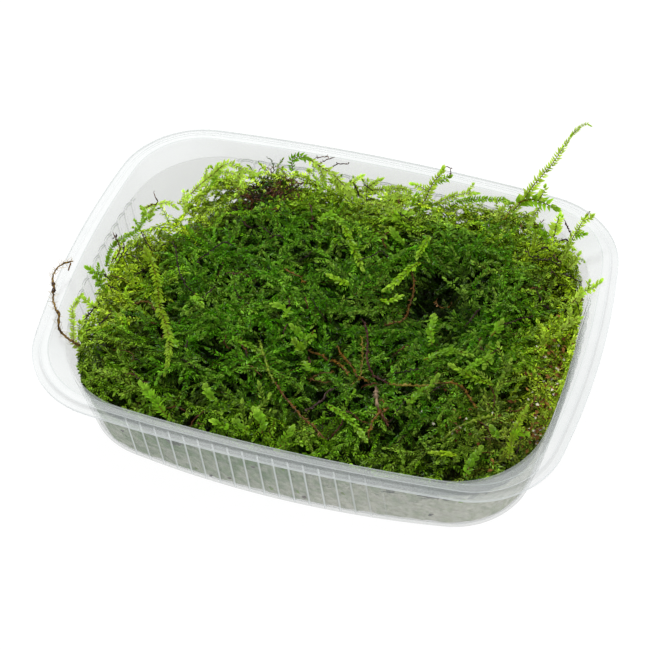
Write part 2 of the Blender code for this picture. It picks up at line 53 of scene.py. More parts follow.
CAMERA_RIGHT = (0.95481272, 0.29575811, -0.02932259)
CAMERA_UP = (-0.20705625, 0.73272274, 0.64826314)
CAMERA_FORWARD = (-0.21321441, 0.61289847, -0.76085155)
CAMERA_LENS = 117.65
SENSOR_WIDTH = 36.0
PHOTO_SIZE = 650.0

# Tub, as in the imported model
RIM_LENGTH = 0.1790
RIM_DEPTH = 0.1354
TUB_HEIGHT = 0.0387
CORNER_RADIUS = 0.0296
BOW_SHORT = 0.0082
BOW_LONG = 0.0060
SKIN = 0.0008
LEDGE_WIDTH = 0.0021
LEDGE_DROP = 0.0011
LIP_WIDTH = 0.0003
BAND_WIDTH = 0.0029
SHOULDER_WIDTH = 0.0031
SHOULDER_DROP = 0.0048
WALL_TOP_CORNER = 0.0310
WALL_FOOT_INSET = 0.0131
WALL_FOOT_CORNER = 0.0265
WALL_FOOT_BOW_SHORT = 0.0062
WALL_FOOT_BOW_LONG = 0.0092
FOOT_ROUNDING = 0.0016
WALL_TOP = TUB_HEIGHT - SHOULDER_DROP
WALL_TOP_INSET = LEDGE_WIDTH + LIP_WIDTH + BAND_WIDTH + SHOULDER_WIDTH - SKIN

# Ribs of the wall: points across one rib, from the middle of the valley beside it
RIB_BULGE = 0.0008
RIB_POWER = 0.6
VALLEY = 0.06                  # half of a valley, as a share of a rib
RIB_POINTS = (0.0, 0.035, 0.06, 0.09, 0.30, 0.50, 0.70, 0.91, 0.94, 0.965)
VALLEY_RIDGE = (1.0, 1.0, 0.3, 0.0, 0.0, 0.0, 0.0, 0.0, 0.3, 1.0)
VALLEY_LINES = (0.0, 0.0, 1.0, 0.0, 0.0, 0.0, 0.0, 0.0, 1.0, 0.0)
FLOOR_SHARES = (0.03, 0.4, 0.8)
# Right, back, left and front side: ribs, and where the first valley lies in the first rib
SIDES = ((12, 0.50), (21, 0.62), (12, 0.50), (21, 0.38))
CORNER_STEPS = 18
# Rows up the wall: height, share of the bulge at the front and elsewhere, and share of the
# grey line along the rib tops at the front and elsewhere
RIB_ROWS = (
    (0.0018, 0.0, 0.0, 0.0, 0.0), (0.0026, 0.6, 0.6, 0.0, 0.0), (0.0042, 1.0, 1.0, 0.0, 0.0),
    (0.0180, 1.0, 1.0, 0.0, 0.0), (0.0276, 1.0, 1.0, 0.0, 0.0), (0.0281, 0.9, 1.0, 0.6, 0.0),
    (0.0286, 0.0, 1.0, 0.0, 0.0), (0.0323, 0.0, 1.0, 0.0, 0.0), (0.0328, 0.0, 0.95, 0.0, 1.0),
    (0.0332, 0.0, 0.7, 0.0, 0.0))
CREASE_TOP = WALL_TOP - 0.0004
FRONT_CREASE_TOP = 0.0284
BACK_CREASE = 0.35             # how strong the creases of the other sides are
RIM_EDGE_BAND = 0.0003
CREASE_FADE = (0.012, 0.046)   # the front creases fade between these places along the tub

# Top of the moss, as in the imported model
HEAP_EDGE = 0.0250
HEAP_CROWN = 0.0115
HEAP_BACK_RISE = 0.0075
HEAP_LEFT_RISE = 0.0035
HEAP_HALF_LENGTH = 0.0860
HEAP_HALF_DEPTH = 0.0640
LUMP_HEIGHT = 0.0032
LUMP_SIZE = 0.0120
LUMP_TABLE_STEP = 0.0020
EDGE_FALL = 0.0025             # how far the moss falls off at the back left
LOCK_SIZE = 0.022              # size of the locks in which shoots lie side by side
LOCK_TURN = 1.9
HEADINGS = (-0.15, 0.85)       # mean heading left and right of the middle
SHADE_DEPTH = 0.0060           # where the deepest shade is reached, under the open top
DEEPEST_SHADE = 0.13
MAT_DEPTH = 0.0085             # the matted mass lies this far below the tips of the shoots
MAT_RINGS = 46
MAT_EDGE_DROP = 0.0040
MAT_BACK_RISE = 0.0010
MAT_SIDE_HEIGHTS = (0.0225, 0.0210, 0.0195, 0.0180, 0.0165, 0.0150, 0.0135, 0.0120, 0.0105,
                    0.0090, 0.0075, 0.0060, 0.0045, 0.0030, 0.0018, 0.0011)
MAT_SIDE_GAP = 0.0004          # between the side and the wall, and the least one
MAT_SIDE_ROOM = 0.00025
MAT_STEPS = 360
MAT_TIGHT = 0.0038             # room that the side doesn't keep
MAT_LEAST_ROOM = 0.0020        # beside the top of the mat, and its share of the moss's room
MAT_ROOM_SHARE = 0.35
MAT_UNDERSIDE = 0.0010
MAT_FOOT_GAP = 0.0011
MAT_GRAIN = 0.0035             # size of its lumps, and of the finer ones in its colour
MAT_FINE_GRAIN = 0.0011
MAT_ROUGHNESS = 0.0014         # on top and on its side
MAT_SIDE_ROUGHNESS = 0.0003
MAT_SEED = 5                   # noise vectors follow the clock where no seed is set
MAT_RING_POWER = 0.8           # crowds the rings at the edge
MAT_RINGS_BELOW = (1.0, 0.5, 0.02)

# Hollows between the shoots, which get painted shade: x, y, radius, depth
HOLLOWS = (
    (0.0290, 0.0080, 0.0070, 0.0055), (0.0350, 0.0150, 0.0060, 0.0050),
    (0.0330, 0.0235, 0.0050, 0.0050), (0.0420, 0.0250, 0.0045, 0.0045),
    (0.0450, 0.0080, 0.0050, 0.0040), (-0.0306, -0.0297, 0.0055, 0.0045),
    (0.0070, -0.0190, 0.0060, 0.0045), (0.0415, -0.0417, 0.0050, 0.0045),
    (-0.0030, -0.0270, 0.0045, 0.0040), (-0.0165, -0.0220, 0.0045, 0.0040),
    (-0.0420, 0.0020, 0.0050, 0.0035), (-0.0150, 0.0180, 0.0050, 0.0035))

# Room between the wall and the moss: direction from the middle in degrees, room
MOSS_ROOM = (
    (-180, 0.0070), (-156, 0.0065), (-142, 0.0035), (-125, 0.0012), (-35, 0.0012), (15, 0.0015),
    (35, 0.0035), (55, 0.0035), (75, 0.0060), (118, 0.0060), (135, 0.0130), (148, 0.0190),
    (158, 0.0165), (168, 0.0085), (180, 0.0070))

# Leaves
LEAF_STEP = 0.00060
LEAF_LENGTH = 0.0020
LEAF_HALF_WIDTH = 0.00033
LEAF_ANGLE = 0.80
BUD_LEAVES = 5
BUD_SPREAD = 0.32
BUD_SHARE = 0.16
STEM_RADIUS = 0.00018
STEM_STEP = 0.0006
CLEAR_STEP = 0.00052           # between the leaves of a shoot that stands clear
CLEAR_BROAD = 1.55             # its leaves are this much broader than those in the moss
CLEAR_SPLAY = 1.05             # and stand this far from the stem
EDGE_SIZE = 0.80
LYING_SIZE = 0.85
LYING_BROAD = 1.6
CLEAR_ROOM = 0.0007            # leaves of the moss stay this far beside a stem that shows
LOOSE_CLEAR_ROOM = 0.00042     # beside the other bare stems, and round the tuft
TUFT_CLEAR_ROOM = 0.00105
LOOSE_STEMS = 150              # places tried for short bare stems all over the moss
SIDE_SHOOT_SIZE = 0.85
EDGE_DROOP = 0.0015            # shoots hang down this far at the edge of the moss
LIGHT_SPREAD = 0.55            # how far leaves differ in light, and those in the moss
MOSS_LIGHT_SPREAD = 1.25
# Shares of the given radius of a stem that its mesh has, in place of a node and elsewhere
NODE_STEM_SHARE = 0.78
LOOSE_STEM_SHARE = 0.80
LOOSE_STEM_RADII = (0.00014, 0.00024)
STUB_LENGTHS = (0.0004, 0.0011)
STUB_HALF_WIDTHS = (0.00012, 0.00028)

# Room that is kept to the wall's inner face: by shoots, seen shoots, stems and every leaf
SHOOT_ROOM = 0.0012
SEEN_SHOOT_ROOM = 0.0010
STEM_ROOM = 0.0008
LEAF_ROOM = 0.0003

# Layers of the moss: pieces, slot, shoots in each, then ranges of length, lift at the start,
# lift at the end and age, and size, share of leaves on top, room to the edge and side shoots
MOSS_LAYERS = (
    (("moss_under_shoots",), "moss_mass", 950, (0.010, 0.022), (-0.0110, -0.0060),
     (-0.0085, -0.0040), (0.8, 1.1), 1.0, 0.4, 0.004, 0.0),
    (("moss_shoots_1", "moss_shoots_2"), "moss_leaf", 720, (0.010, 0.024), (-0.0075, -0.0035),
     (-0.0045, -0.0005), (0.35, 0.95), 0.78, 0.45, 0.003, 0.0),
    (("moss_tips_1", "moss_tips_2"), "moss_leaf", 300, (0.014, 0.032), (-0.0040, -0.0008),
     (-0.0006, 0.0018), (0.0, 0.45), 0.76, 0.5, 0.0015, 0.30))

# Milky film of the tub: how much each of its two faces covers
FILM_COVER = 0.23
# white ridges: whiter film in the valleys, and painted highlights along the rim
RIDGE_COVER = 0.42
RIDGE_TINT = (0.76, 0.80, 0.81)
LINE_COVER = 0.42
LINE_TINT = (0.40, 0.45, 0.43)
FILM_CLOUD = ((0.35, (0.455, 0.490, 0.483)), (0.65, (0.500, 0.522, 0.518)))

# Colours of leaves and stems
DEEP = (0.014, 0.036, 0.002)
DARK = (0.036, 0.130, 0.002)
MIDDLE = (0.085, 0.330, 0.002)
BRIGHT = (0.260, 0.500, 0.012)
YOUNG = (0.560, 0.760, 0.110)
# painted light: the paler yellow-green of shoots at the sides and back, which are lit from behind
PAINTED_BACKLIGHT_TINT = (0.740, 1.000, 0.025)
FRESH = (0.190, 0.410, 0.014)
OLIVE = (0.210, 0.215, 0.022)
BROWN = (0.115, 0.042, 0.012)
ORANGE = (0.200, 0.100, 0.010)
STRAW = (0.260, 0.200, 0.020)
PURPLE = (0.080, 0.042, 0.034)
BLACKISH = (0.034, 0.014, 0.010)
LITTER = (0.260, 0.130, 0.030)
GOLD = (0.420, 0.250, 0.040)
CREAM = (0.620, 0.600, 0.440)
SIDE_GREEN = (0.130, 0.310, 0.040)
SIDE_GREY = (0.620, 0.670, 0.500)
SIDE_PALE = (0.900, 0.880, 0.740)
WARM_LIGHT = (1.12, 1.20, 0.45)    # tints the light that comes through a leaf
# Patches on the moss, an olive one of its own colour and one of painted shade in the middle:
# middle and spread along x and y
OLIVE_PATCH = (0.066, -0.034, 0.018, 0.020)
PAINTED_SHADE_MIDDLE = (0.028, 0.0, 0.026, 0.020)

# Floor, world and lamps: name, place, size and watts
FLOOR_HALF = 1.5
FLOOR_LEVEL = -0.0002
FLOOR_GREY = 0.05
FLOOR_GLOW = 0.96
WORLD_LIGHT = 0.66
LAMPS = (("key", (-0.22, 0.30, 0.62), 0.10, 4.9), ("fill", (0.45, -0.35, 0.50), 0.50, 1.1))
LAMP_TARGET = (0, 0, 0.03)

# Shoots and stems that stand clear of the moss: tint, size, and a way of photo pixels with
# heights in millimetres
CLEAR_SHOOTS = {
    "tall_shoot": (
        ("young", (1.4, 0.75), ((512, 212, 38), (524, 199, 43), (533, 186, 48), (541, 177, 52),
            (552, 164, 57.5), (561, 151, 63), (571, 136, 69))),
        ("young", (0.6, 0.35), ((571, 136, 69), (579, 128, 72.5), (586, 124, 75),
            (591, 126, 74.5))),
        ("bright", (1.7, 1.4), ((518, 203, 42), (527, 200, 43), (535, 200, 43.5), (546, 204, 43),
            (555, 208, 42))),
        ("young", (1.1, 0.8), ((538, 200, 44), (543, 194, 46.5), (545, 187, 49))),
        ("young", (0.9, 0.9), ((540, 207, 42), (534, 216, 39.5), (529, 227, 36))),
    ),
    "back_shoot": (
        ("young", (1.1, 1.1), ((418, 206, 38), (424.6, 201, 40), (428.5, 192, 43),
            (433.6, 182, 47), (440, 175.5, 50), (442.5, 170, 52))),
        ("young", (0.9, 0.9), ((428.5, 192, 43), (421, 187, 45), (413, 184.4, 46))),
        ("bright", (0.9, 0.9), ((433.6, 182, 47), (441, 181, 47), (449, 177, 48))),
    ),
    "right_shoot": (
        ("young", (1.0, 0.8), ((567.8, 247.4, 37), (574.7, 234.8, 42), (582.7, 221, 48),
            (586, 216, 50.5))),
        ("brown", (0.3, 0.3), ((586, 216, 50.5), (589.6, 211.8, 53))),
        ("young", (0.9, 0.9), ((582.7, 221, 48), (588, 219, 48.5), (591.5, 216.5, 49))),
        ("bright", (0.9, 0.9), ((574.7, 234.8, 42), (580, 235.5, 42), (584, 234.5, 42.5))),
    ),
    "pale_tuft_shoot": (
        ("young", (1.7, 0.9), ((554, 236, 42), (556.3, 225.6, 46.5), (559.7, 215.3, 51))),
        ("young", (1.0, 0.7), ((556, 229, 45), (560, 222, 47), (562, 217, 49))),
    ),
    "back_arch_shoot": (
        ("fresh", (1.0, 0.9), ((293, 170.6, 44), (292, 160.4, 48), (299.5, 156.6, 50),
            (308.4, 159, 49))),
        ("young", (1.2, 1.2), ((308.4, 159, 49), (318.6, 165.5, 47), (334, 175.7, 45),
            (346.7, 188.5, 42), (355.6, 198.7, 38))),
        ("young", (0.9, 0.9), ((318.6, 165.5, 47), (322, 174, 44), (325, 183, 41))),
        ("young", (0.9, 0.9), ((334, 175.7, 45), (337, 185, 42), (341, 196, 38))),
    ),
    "back_left_shoot": (
        ("young", (0.9, 0.9), ((178, 204, 38), (190.7, 194, 39.5), (200, 184.6, 41),
            (212.8, 174.4, 43), (223, 165.5, 45), (230.6, 164, 45), (242, 169, 43),
            (255, 174.4, 41), (260, 173, 41))),
        ("bright", (0.9, 0.9), ((223, 165.5, 45), (216, 173, 42), (212, 183, 39))),
        ("young", (1.0, 0.9), ((242, 169, 43), (238, 177, 41), (236, 186, 38))),
    ),
    "left_long_shoot": (
        ("leafy", (1.1, 0.9), ((144.8, 250, 40), (152.4, 264, 41), (157.6, 285.8, 42),
            (160, 308.8, 42), (164, 319, 41.5), (166.5, 326.5, 41), (169, 339, 40.5),
            (167.8, 359.7, 39), (165, 372, 37))),
        ("leafy", (0.9, 0.7), ((152.4, 264, 41), (147, 256, 42), (145, 248, 42.5))),
    ),
    "left_pale_shoot": (
        ("fresh", (0.9, 1.3), ((170, 418, 35.5), (162.6, 410.7, 37), (150, 394, 38),
            (142, 385, 38))),
    ),
    "front_right_shoot": (
        ("leafy", (0.8, 0.8), ((509, 459, 36), (512, 440, 37.5), (518, 424, 38.5),
            (527, 407, 38))),
        ("bright", (1.0, 1.0), ((513, 435, 38), (520, 432, 38), (526, 434, 37))),
    ),
}
# Nodes whose shoots are of the paler kind
PALE_NODES = ("tall_shoot", "back_shoot", "pale_tuft_shoot", "back_arch_shoot",
              "left_long_shoot", "left_pale_shoot")

# Lacy shoots along the edges of the moss, in the same terms
EDGE_SHOOTS = (
    ("bright", 0.9, ((106.5, 266.7, 36), (111.6, 247.6, 38), (119, 240, 39), (132, 233.5, 39),
        (139.7, 227, 39), (144.8, 211.8, 38), (141, 206.7, 37))),
    ("young", 0.9, ((139.7, 209, 37), (150, 206.7, 38.5), (158.8, 204, 39), (169, 203, 39),
        (176.7, 208, 38))),
    ("young", 1.0, ((90, 352, 31), (74.6, 344, 33), (73.4, 326.5, 35), (72, 311, 37),
        (77, 301, 38), (81, 296, 39))),
    ("young", 1.3, ((97, 309, 36), (91, 304, 38), (85, 299, 39))),
    ("bright", 1.0, ((106.5, 274, 37), (96, 274, 39), (87.4, 268, 41))),
    ("bright", 0.9, ((108, 292, 35), (100, 283, 37), (97, 276, 38))),
    ("young", 0.9, ((205, 186, 38), (205, 178, 40), (225, 172, 42), (240, 178, 41),
        (243, 190, 38))),
    ("young", 1.0, ((436, 204, 38), (444, 200, 42), (459, 194.6, 44), (477, 193.4, 43))),
    ("bright", 1.0, ((450, 207, 38), (462, 201, 41), (483, 199, 41.5), (500, 200, 41),
        (512, 203, 40))),
    ("young", 0.9, ((362, 189, 40), (380, 189.5, 41), (393, 188, 41.5), (405.5, 189.5, 41.5),
        (411, 194, 40.5), (396.6, 197, 40), (380, 197, 39))),
    ("young", 0.9, ((365, 204, 38), (380, 205, 39.5), (396, 210, 39), (404, 211, 38))),
    ("bright", 1.0, ((411, 207, 38.5), (413.5, 201, 40), (416, 195, 41.5))),
    ("young", 1.0, ((366, 192, 40), (370, 186, 42), (381, 179.5, 44))),
    ("young", 1.0, ((350, 186, 40), (356, 180, 42), (362, 176, 43))),
    ("young", 1.2, ((570, 305, 34), (582.7, 292, 36), (593, 288.8, 37.5), (600, 281.9, 39))),
    ("young", 1.0, ((568, 268, 35), (574, 262, 37), (579, 254, 39))),
    ("young", 0.9, ((560, 262, 36), (566, 254, 38), (570, 243, 41))),
    ("young", 1.0, ((561, 330, 33), (571, 322, 34.5), (580, 318, 36))),
    ("bright", 1.0, ((548, 246, 37), (546, 236, 39), (541, 226, 41))),
    ("young", 0.9, ((497, 222, 38), (500, 212, 40.5), (506, 204, 42))),
    ("young", 0.9, ((186, 214, 37), (184, 205, 39), (189, 197, 40))),
    ("young", 0.9, ((150, 222, 36), (150, 214, 38), (155, 206, 39))),
)

# Shoots on the moss that catch the eye: tint, size, lift over the moss and photo pixels
LYING_SHOOTS = (
    ("fresh", 1.2, 2.0, ((284, 318), (287, 310.6), (281, 307), (274, 304.5))),
    ("fresh", 1.1, 2.5, ((306, 343), (300.4, 334), (293, 327))),
    ("bright", 1.1, 2.0, ((303, 352), (299, 346), (295, 341))),
    ("fresh", 1.2, 2.5, ((314, 330), (311, 337), (305.5, 345))),
    ("fresh", 1.2, 2.0, ((312, 372), (308, 368), (303.5, 363.7))),
    ("fresh", 1.1, 2.0, ((246, 430), (241, 426), (236, 421.8))),
    ("fresh", 1.2, 2.0, ((280, 447), (284, 439), (291, 429))),
    ("fresh", 1.4, 3.0, ((261.6, 433), (262.7, 422.9), (255.5, 410.6))),
    ("fresh", 1.0, 1.5, ((235, 340), (248.4, 345.3), (260.6, 352.4))),
    ("fresh", 1.1, 2.0, ((194.5, 293.5), (198, 299), (201, 303.7))),
    ("fresh", 1.2, 2.0, ((218, 402), (211, 396.7), (206, 387.7))),
    ("fresh", 1.2, 2.0, ((229, 428.6), (221, 425), (213.7, 422))),
    ("fresh", 1.2, 2.5, ((178, 348), (171, 338), (165, 326.5))),
    ("fresh", 1.0, 2.0, ((326, 404.5), (335, 409.6), (346.3, 416.7), (355.5, 427), (364.7, 439))),
    ("fresh", 1.1, 2.0, ((320, 222), (330, 215), (343, 224))),
    ("bright", 1.1, 2.0, ((343, 224), (350, 240), (356, 254), (362, 268))),
    ("bright", 1.1, 2.5, ((350, 284), (340, 281), (330, 276))),
    ("bright", 1.1, 2.5, ((420, 262), (408, 270), (396, 282), (386, 289))),
    ("bright", 1.2, 2.0, ((379, 300), (388, 301), (399, 297))),
    ("fresh", 1.2, 2.5, ((491, 336), (497, 330), (501, 323))),
    ("fresh", 1.2, 2.5, ((432, 345), (431, 330), (434, 316))),
    ("fresh", 1.0, 2.0, ((424, 360), (440, 353), (456, 351), (470, 355))),
    ("fresh", 1.1, 2.0, ((466, 371), (478, 362), (490, 356))),
    ("bright", 1.1, 2.0, ((493, 384), (476, 379), (462, 372), (452, 366))),
    ("fresh", 1.1, 2.0, ((408, 404), (416, 396), (430, 388), (437, 377))),
    ("fresh", 1.1, 2.0, ((486, 345), (492, 352), (485, 366))),
    ("bright", 1.1, 2.0, ((430, 236), (424, 246), (418, 256))),
    ("bright", 1.2, 2.0, ((392, 212), (401, 216), (410, 214))),
    ("fresh", 1.0, 2.0, ((405, 243), (398, 238), (392, 230))),
    ("fresh", 1.2, 3.0, ((466, 476), (471, 463), (480, 449))),
    ("leafy", 1.0, 2.0, ((457, 455), (446, 454), (433, 453))),
    ("fresh", 1.0, 2.0, ((500, 438), (495, 432), (492, 428))),
)

# Bare stems that lie on the moss and replace a node
NODE_STEMS = {
    "yellow_stem": (
        ("green_straw", 0.42, 1.7, ((259.6, 341), (264.7, 357.6), (268.8, 371.8), (275, 383))),
        ("orange_brown", 0.40, 1.7, ((275, 383), (285, 397.3), (295.3, 409.6), (305.5, 419.8),
            (314.7, 428), (325, 439))),
    ),
    "orange_stem": (
        ("orange", 0.38, 1.7, ((307.6, 350.4), (313.7, 353), (321.8, 355.5), (327, 360.6),
            (335, 361.6), (341.2, 365.7), (348.4, 375))),
    ),
    "orange_stem_branch": (
        ("orange", 0.36, 1.7, ((337, 345.3), (341.2, 353.5), (346.3, 359.6), (352.4, 366.7))),
        ("orange", 0.34, 1.5, ((352.4, 366.7), (356.5, 375.9), (362.7, 378), (368.8, 383))),
    ),
    "purple_stem": (
        ("purple", 0.36, 1.7, ((305.5, 410.6), (315.7, 404.5), (322.9, 399.4), (327, 392),
            (336, 388))),
        ("straw", 0.25, 1.2, ((351.4, 385), (360.6, 377), (361.6, 366.7), (362.7, 353.5),
            (361.6, 338))),
    ),
    "long_stem": (
        ("purple_brown", 0.36, 1.7, ((361.6, 318.8), (365.7, 327), (367.8, 341), (366.7, 356.5),
            (369.8, 368.8), (376, 377), (389, 384))),
        ("straw", 0.34, 1.7, ((389, 384), (420, 386), (440, 383))),
        ("orange", 0.40, 1.7, ((440, 383), (452, 383), (464, 389), (470, 398), (477, 409))),
    ),
    "thick_stem": (
        ("whitish", 0.75, 1.5, ((376, 387), (376, 397.3), (378, 407.6))),
        ("brown", 0.65, 1.5, ((378, 407.6), (383, 416.7), (388, 425))),
        ("orange", 0.34, 1.7, ((389, 408.6), (381, 412.7), (373.9, 418.8), (370.8, 427),
            (367.8, 437))),
    ),
    "curved_stem": (
        ("orange_brown", 0.34, 1.6, ((411, 270), (414, 287), (410, 304), (404, 319), (385, 325))),
    ),
    "green_stalk": (
        ("green_straw", 0.55, 1.0, ((441, 441), (456, 429), (476, 420), (493, 416))),
    ),
}

# Other bare stems: tint, radius in millimetres, and photo pixels with heights in millimetres,
# where a height under 15 is a lift over the moss
BARE_STEMS = (
    ("dark", 0.25, ((170, 241, 2), (175.4, 247.6, 3), (179, 270.5, 3), (185.6, 284.5, 2.5),
        (194.5, 293.5, 1.5))),
    ("dark", 0.30, ((84, 320, 1), (92, 311, 3), (100, 303, 2))),
    ("dark", 0.28, ((98, 325, 1), (105, 319, 2.5), (112, 312, 2))),
    ("dark", 0.25, ((114, 247.6, 37), (116.7, 235, 40), (113, 239, 41))),
    ("brown", 0.25, ((112, 262, 36), (117, 256, 38), (120, 248, 39), (113, 232, 42))),
    ("dark", 0.28, ((101, 272, 37), (106, 276, 38), (111, 281, 37))),
    ("dark", 0.25, ((106, 284, 2), (112, 287, 3), (118, 291, 2))),
    ("dark", 0.25, ((123, 238, 38), (124, 250, 39), (120, 258, 38), (117, 263, 37))),
    ("dark", 0.25, ((141, 232, 3), (147, 243, 3), (153, 252, 2))),
    ("dark", 0.22, ((137, 244, 2), (144, 251, 3), (150, 262, 2))),
    ("brown", 0.25, ((146, 208, 37), (153, 204, 40), (157, 203, 41), (154, 193, 43))),
    ("dark", 0.22, ((134, 276, 2), (139, 272, 3), (145, 270, 2))),
    ("brown", 0.22, ((313.5, 159, 49), (321, 157, 51), (328, 156.5, 52))),
    ("brown", 0.22, ((321, 163, 47), (328, 159, 50), (335, 157, 51))),
    ("purple_brown", 0.25, ((330, 169, 45), (338, 164, 48), (348, 164, 49))),
    ("dark", 0.28, ((353, 183, 43), (357, 190, 41), (359.5, 197.4, 38))),
    ("dark", 0.25, ((364.5, 185, 42), (369, 188, 42), (373.5, 191, 41))),
    ("dark", 0.28, ((398, 212, 3), (404, 216, 3), (412, 221, 1.5))),
    ("straw", 0.25, ((500, 224, 37), (507, 215, 40), (513, 205, 43))),
    ("brown", 0.20, ((436, 180, 48), (441, 171, 51), (447, 166, 53), (451, 170, 52),
        (450, 177, 50))),
    ("brown", 0.28, ((563.8, 219.9, 47), (568, 229, 43), (572.4, 238.3, 39))),
    ("dark", 0.28, ((558.6, 241.7, 40), (567.2, 239.4, 42), (566.6, 249.7, 38))),
    ("dark", 0.28, ((521.8, 250.9, 2), (527.6, 252, 3), (531, 256.6, 3), (540, 256, 1.5))),
    ("dark", 0.28, ((538, 250.9, 2), (544.8, 247.4, 3), (550.5, 250.9, 1.5))),
    ("dark", 0.28, ((535.6, 260, 1.5), (551.7, 260.6, 3), (559.7, 267, 1.5))),
    ("purple_brown", 0.25, ((552.8, 252, 2), (557.4, 260, 3), (562, 263.5, 1.5))),
    ("dark", 0.25, ((549.4, 268, 1.5), (557.4, 277.3, 2))),
    ("dark", 0.25, ((507, 271.6, 1.5), (519.6, 268, 2))),
    ("dark", 0.25, ((538, 283, 1.5), (542.5, 277.3, 2))),
    ("dark", 0.28, ((562, 273.8, 2), (571, 277, 3), (580.4, 281.9, 1.5))),
    ("brown", 0.25, ((520.7, 222, 3), (520.7, 230, 2))),
    ("dark", 0.30, ((465, 326, 1.5), (472, 318, 3), (480, 308, 2))),
    ("dark", 0.28, ((500, 324, 1.5), (510, 323, 3), (520, 319, 3), (534, 316, 2))),
    ("purple_brown", 0.25, ((483, 358, 1.5), (493, 352, 2.5), (502, 347, 1.5))),
    ("dark", 0.25, ((430, 394, 1.5), (437, 388, 2.5), (446, 385, 1.5))),
    ("dark", 0.30, ((197, 262, 2), (216, 247, 3), (224, 242, 3), (232, 245, 2))),
    ("dark", 0.28, ((241, 219, 2), (246, 225, 3), (252, 228, 2))),
    ("dark", 0.28, ((200, 300, 1.5), (208, 293, 2.5), (216, 287, 1.5))),
    ("orange", 0.28, ((284, 269, 2), (292, 273, 3), (299, 276, 3), (306, 284, 1.5))),
    ("dark", 0.25, ((269, 238, 2), (278, 235, 3), (286, 240, 2))),
    ("purple_brown", 0.22, ((288, 298, 2), (290, 304, 2.5), (286, 309, 1))),
    ("dark", 0.22, ((357, 260, 2), (372, 256, 3), (382, 251, 3), (390, 259, 1.5))),
)

# Dark tuft at the back left: its nodes, and where it lies in photo pixels
TUFT_NODES = ("rhizoid_1", "rhizoid_2", "rhizoid_3")
TUFT_PLACE = ((238, 178), (294, 206))
TUFT_STRANDS = 190
STRAND_RADII = (0.00012, 0.00026)
TUFT_GRID = 4                  # between the pixels where the moss is kept off it
TUFT_ORANGE = (284, 180, 12, 10)    # its orange spot: middle and spread

# Wiry root over the left rim, from its foot in the moss to its free end
ROOT_WAY = (
    (80, 345, 33), (73.4, 341.8, 35), (60.6, 331.6, 38), (58.7, 321.4, 41), (58.7, 315, 42),
    (55.5, 308.8, 43), (53, 298.6, 44.5), (53.6, 288, 45), (53, 283, 45.5), (54, 273, 46),
    (62, 264, 45), (73.4, 261.6, 43.5))
ROOT_KNOTS = ((53, 284, 45.4), (53.6, 289.5, 45), (59, 311, 42.5))
ROOT_TWIG = ((70.8, 262.9, 43.8), (68.3, 270.5, 43))
ROOT_RADIUS = 0.00040
KNOT_SIZE = 0.0007
TWIG_RADIUS = 0.00025
HAIR_LENGTHS = (0.0006, 0.0022)
HAIR_RADII = (0.00007, 0.00006, 0.00005, 0.00003)
HAIR_TINT = (0.55, 0.38, 0.12)

# Dead bits: how many, the middle of their heap and its spread in photo pixels
LITTER_HEAPS = (
    (240, 556, 425, 20, 26), (150, 560, 366, 11, 20), (50, 537, 434, 7, 7), (40, 470, 425, 30, 16))
LITTER_KINDS = ((0.45, LITTER), (0.82, BROWN), (1.0, CREAM))    # running share, tint
LITTER_LENGTHS = (0.0008, 0.0026)
CREAM_LENGTHS = (0.0006, 0.0014)
LITTER_HALF_WIDTHS = (0.0003, 0.0007)

# Bits behind the front wall: tint, photo pixel, length in millimetres
WALL_BITS = (
    ("fresh", 281, 469, 1.4), ("bright", 269, 488, 1.3), ("bright", 295, 491, 1.1),
    ("leafy", 194, 468, 1.2), ("leafy", 341, 494, 1.2), ("bright", 145, 437, 1.3),
    ("bright", 459, 501, 1.6), ("dark", 125, 435, 1.4), ("purple", 130, 446, 1.6),
    ("brown", 227, 478, 1.2), ("dark", 209, 476, 0.9), ("purple", 251, 467, 1.2),
    ("brown", 302, 497, 1.4), ("dark", 429, 515, 1.0), ("purple", 120, 430, 1.8))
BIT_DEPTH = 0.0001             # how far inside the wall they lie
BIT_STRETCH = 1.5              # of the length seen, as they are seen at a slant
BIT_HALF_WIDTH = 0.0006

# Small helpers


def smoothstep(low, high, value):
    share = np.clip((value - low) / (high - low), 0.0, 1.0)
    return share * share * (3 - 2 * share)


def unit(vectors):
    return vectors / np.maximum(np.linalg.norm(vectors, axis=-1, keepdims=True), 1e-9)


def mix(first, second, share):
    return first + (second - first) * share


def mix_tint(first, second, share):
    first = np.asarray(first, float)
    second = np.asarray(second, float)
    return first + (second - first) * np.asarray(share)[..., None]


# Outlines of the tub


def arc(centre, radius, start, end, shares):
    angles = start + (end - start) * shares
    normals = np.stack([np.cos(angles), np.sin(angles)], 1)
    return np.array(centre) + normals * radius, normals


def side_shares(ribs, phase):
    """Points along a side, as shares of it, crowded at the valleys between its ribs."""
    places = np.sort((np.array(RIB_POINTS) + phase) % 1.0)
    return ((np.arange(ribs)[:, None] + places) / ribs).ravel()


SIDE_SHARES = [side_shares(ribs, phase) for ribs, phase in SIDES]
CORNER_SHARES = np.arange(CORNER_STEPS) / CORNER_STEPS


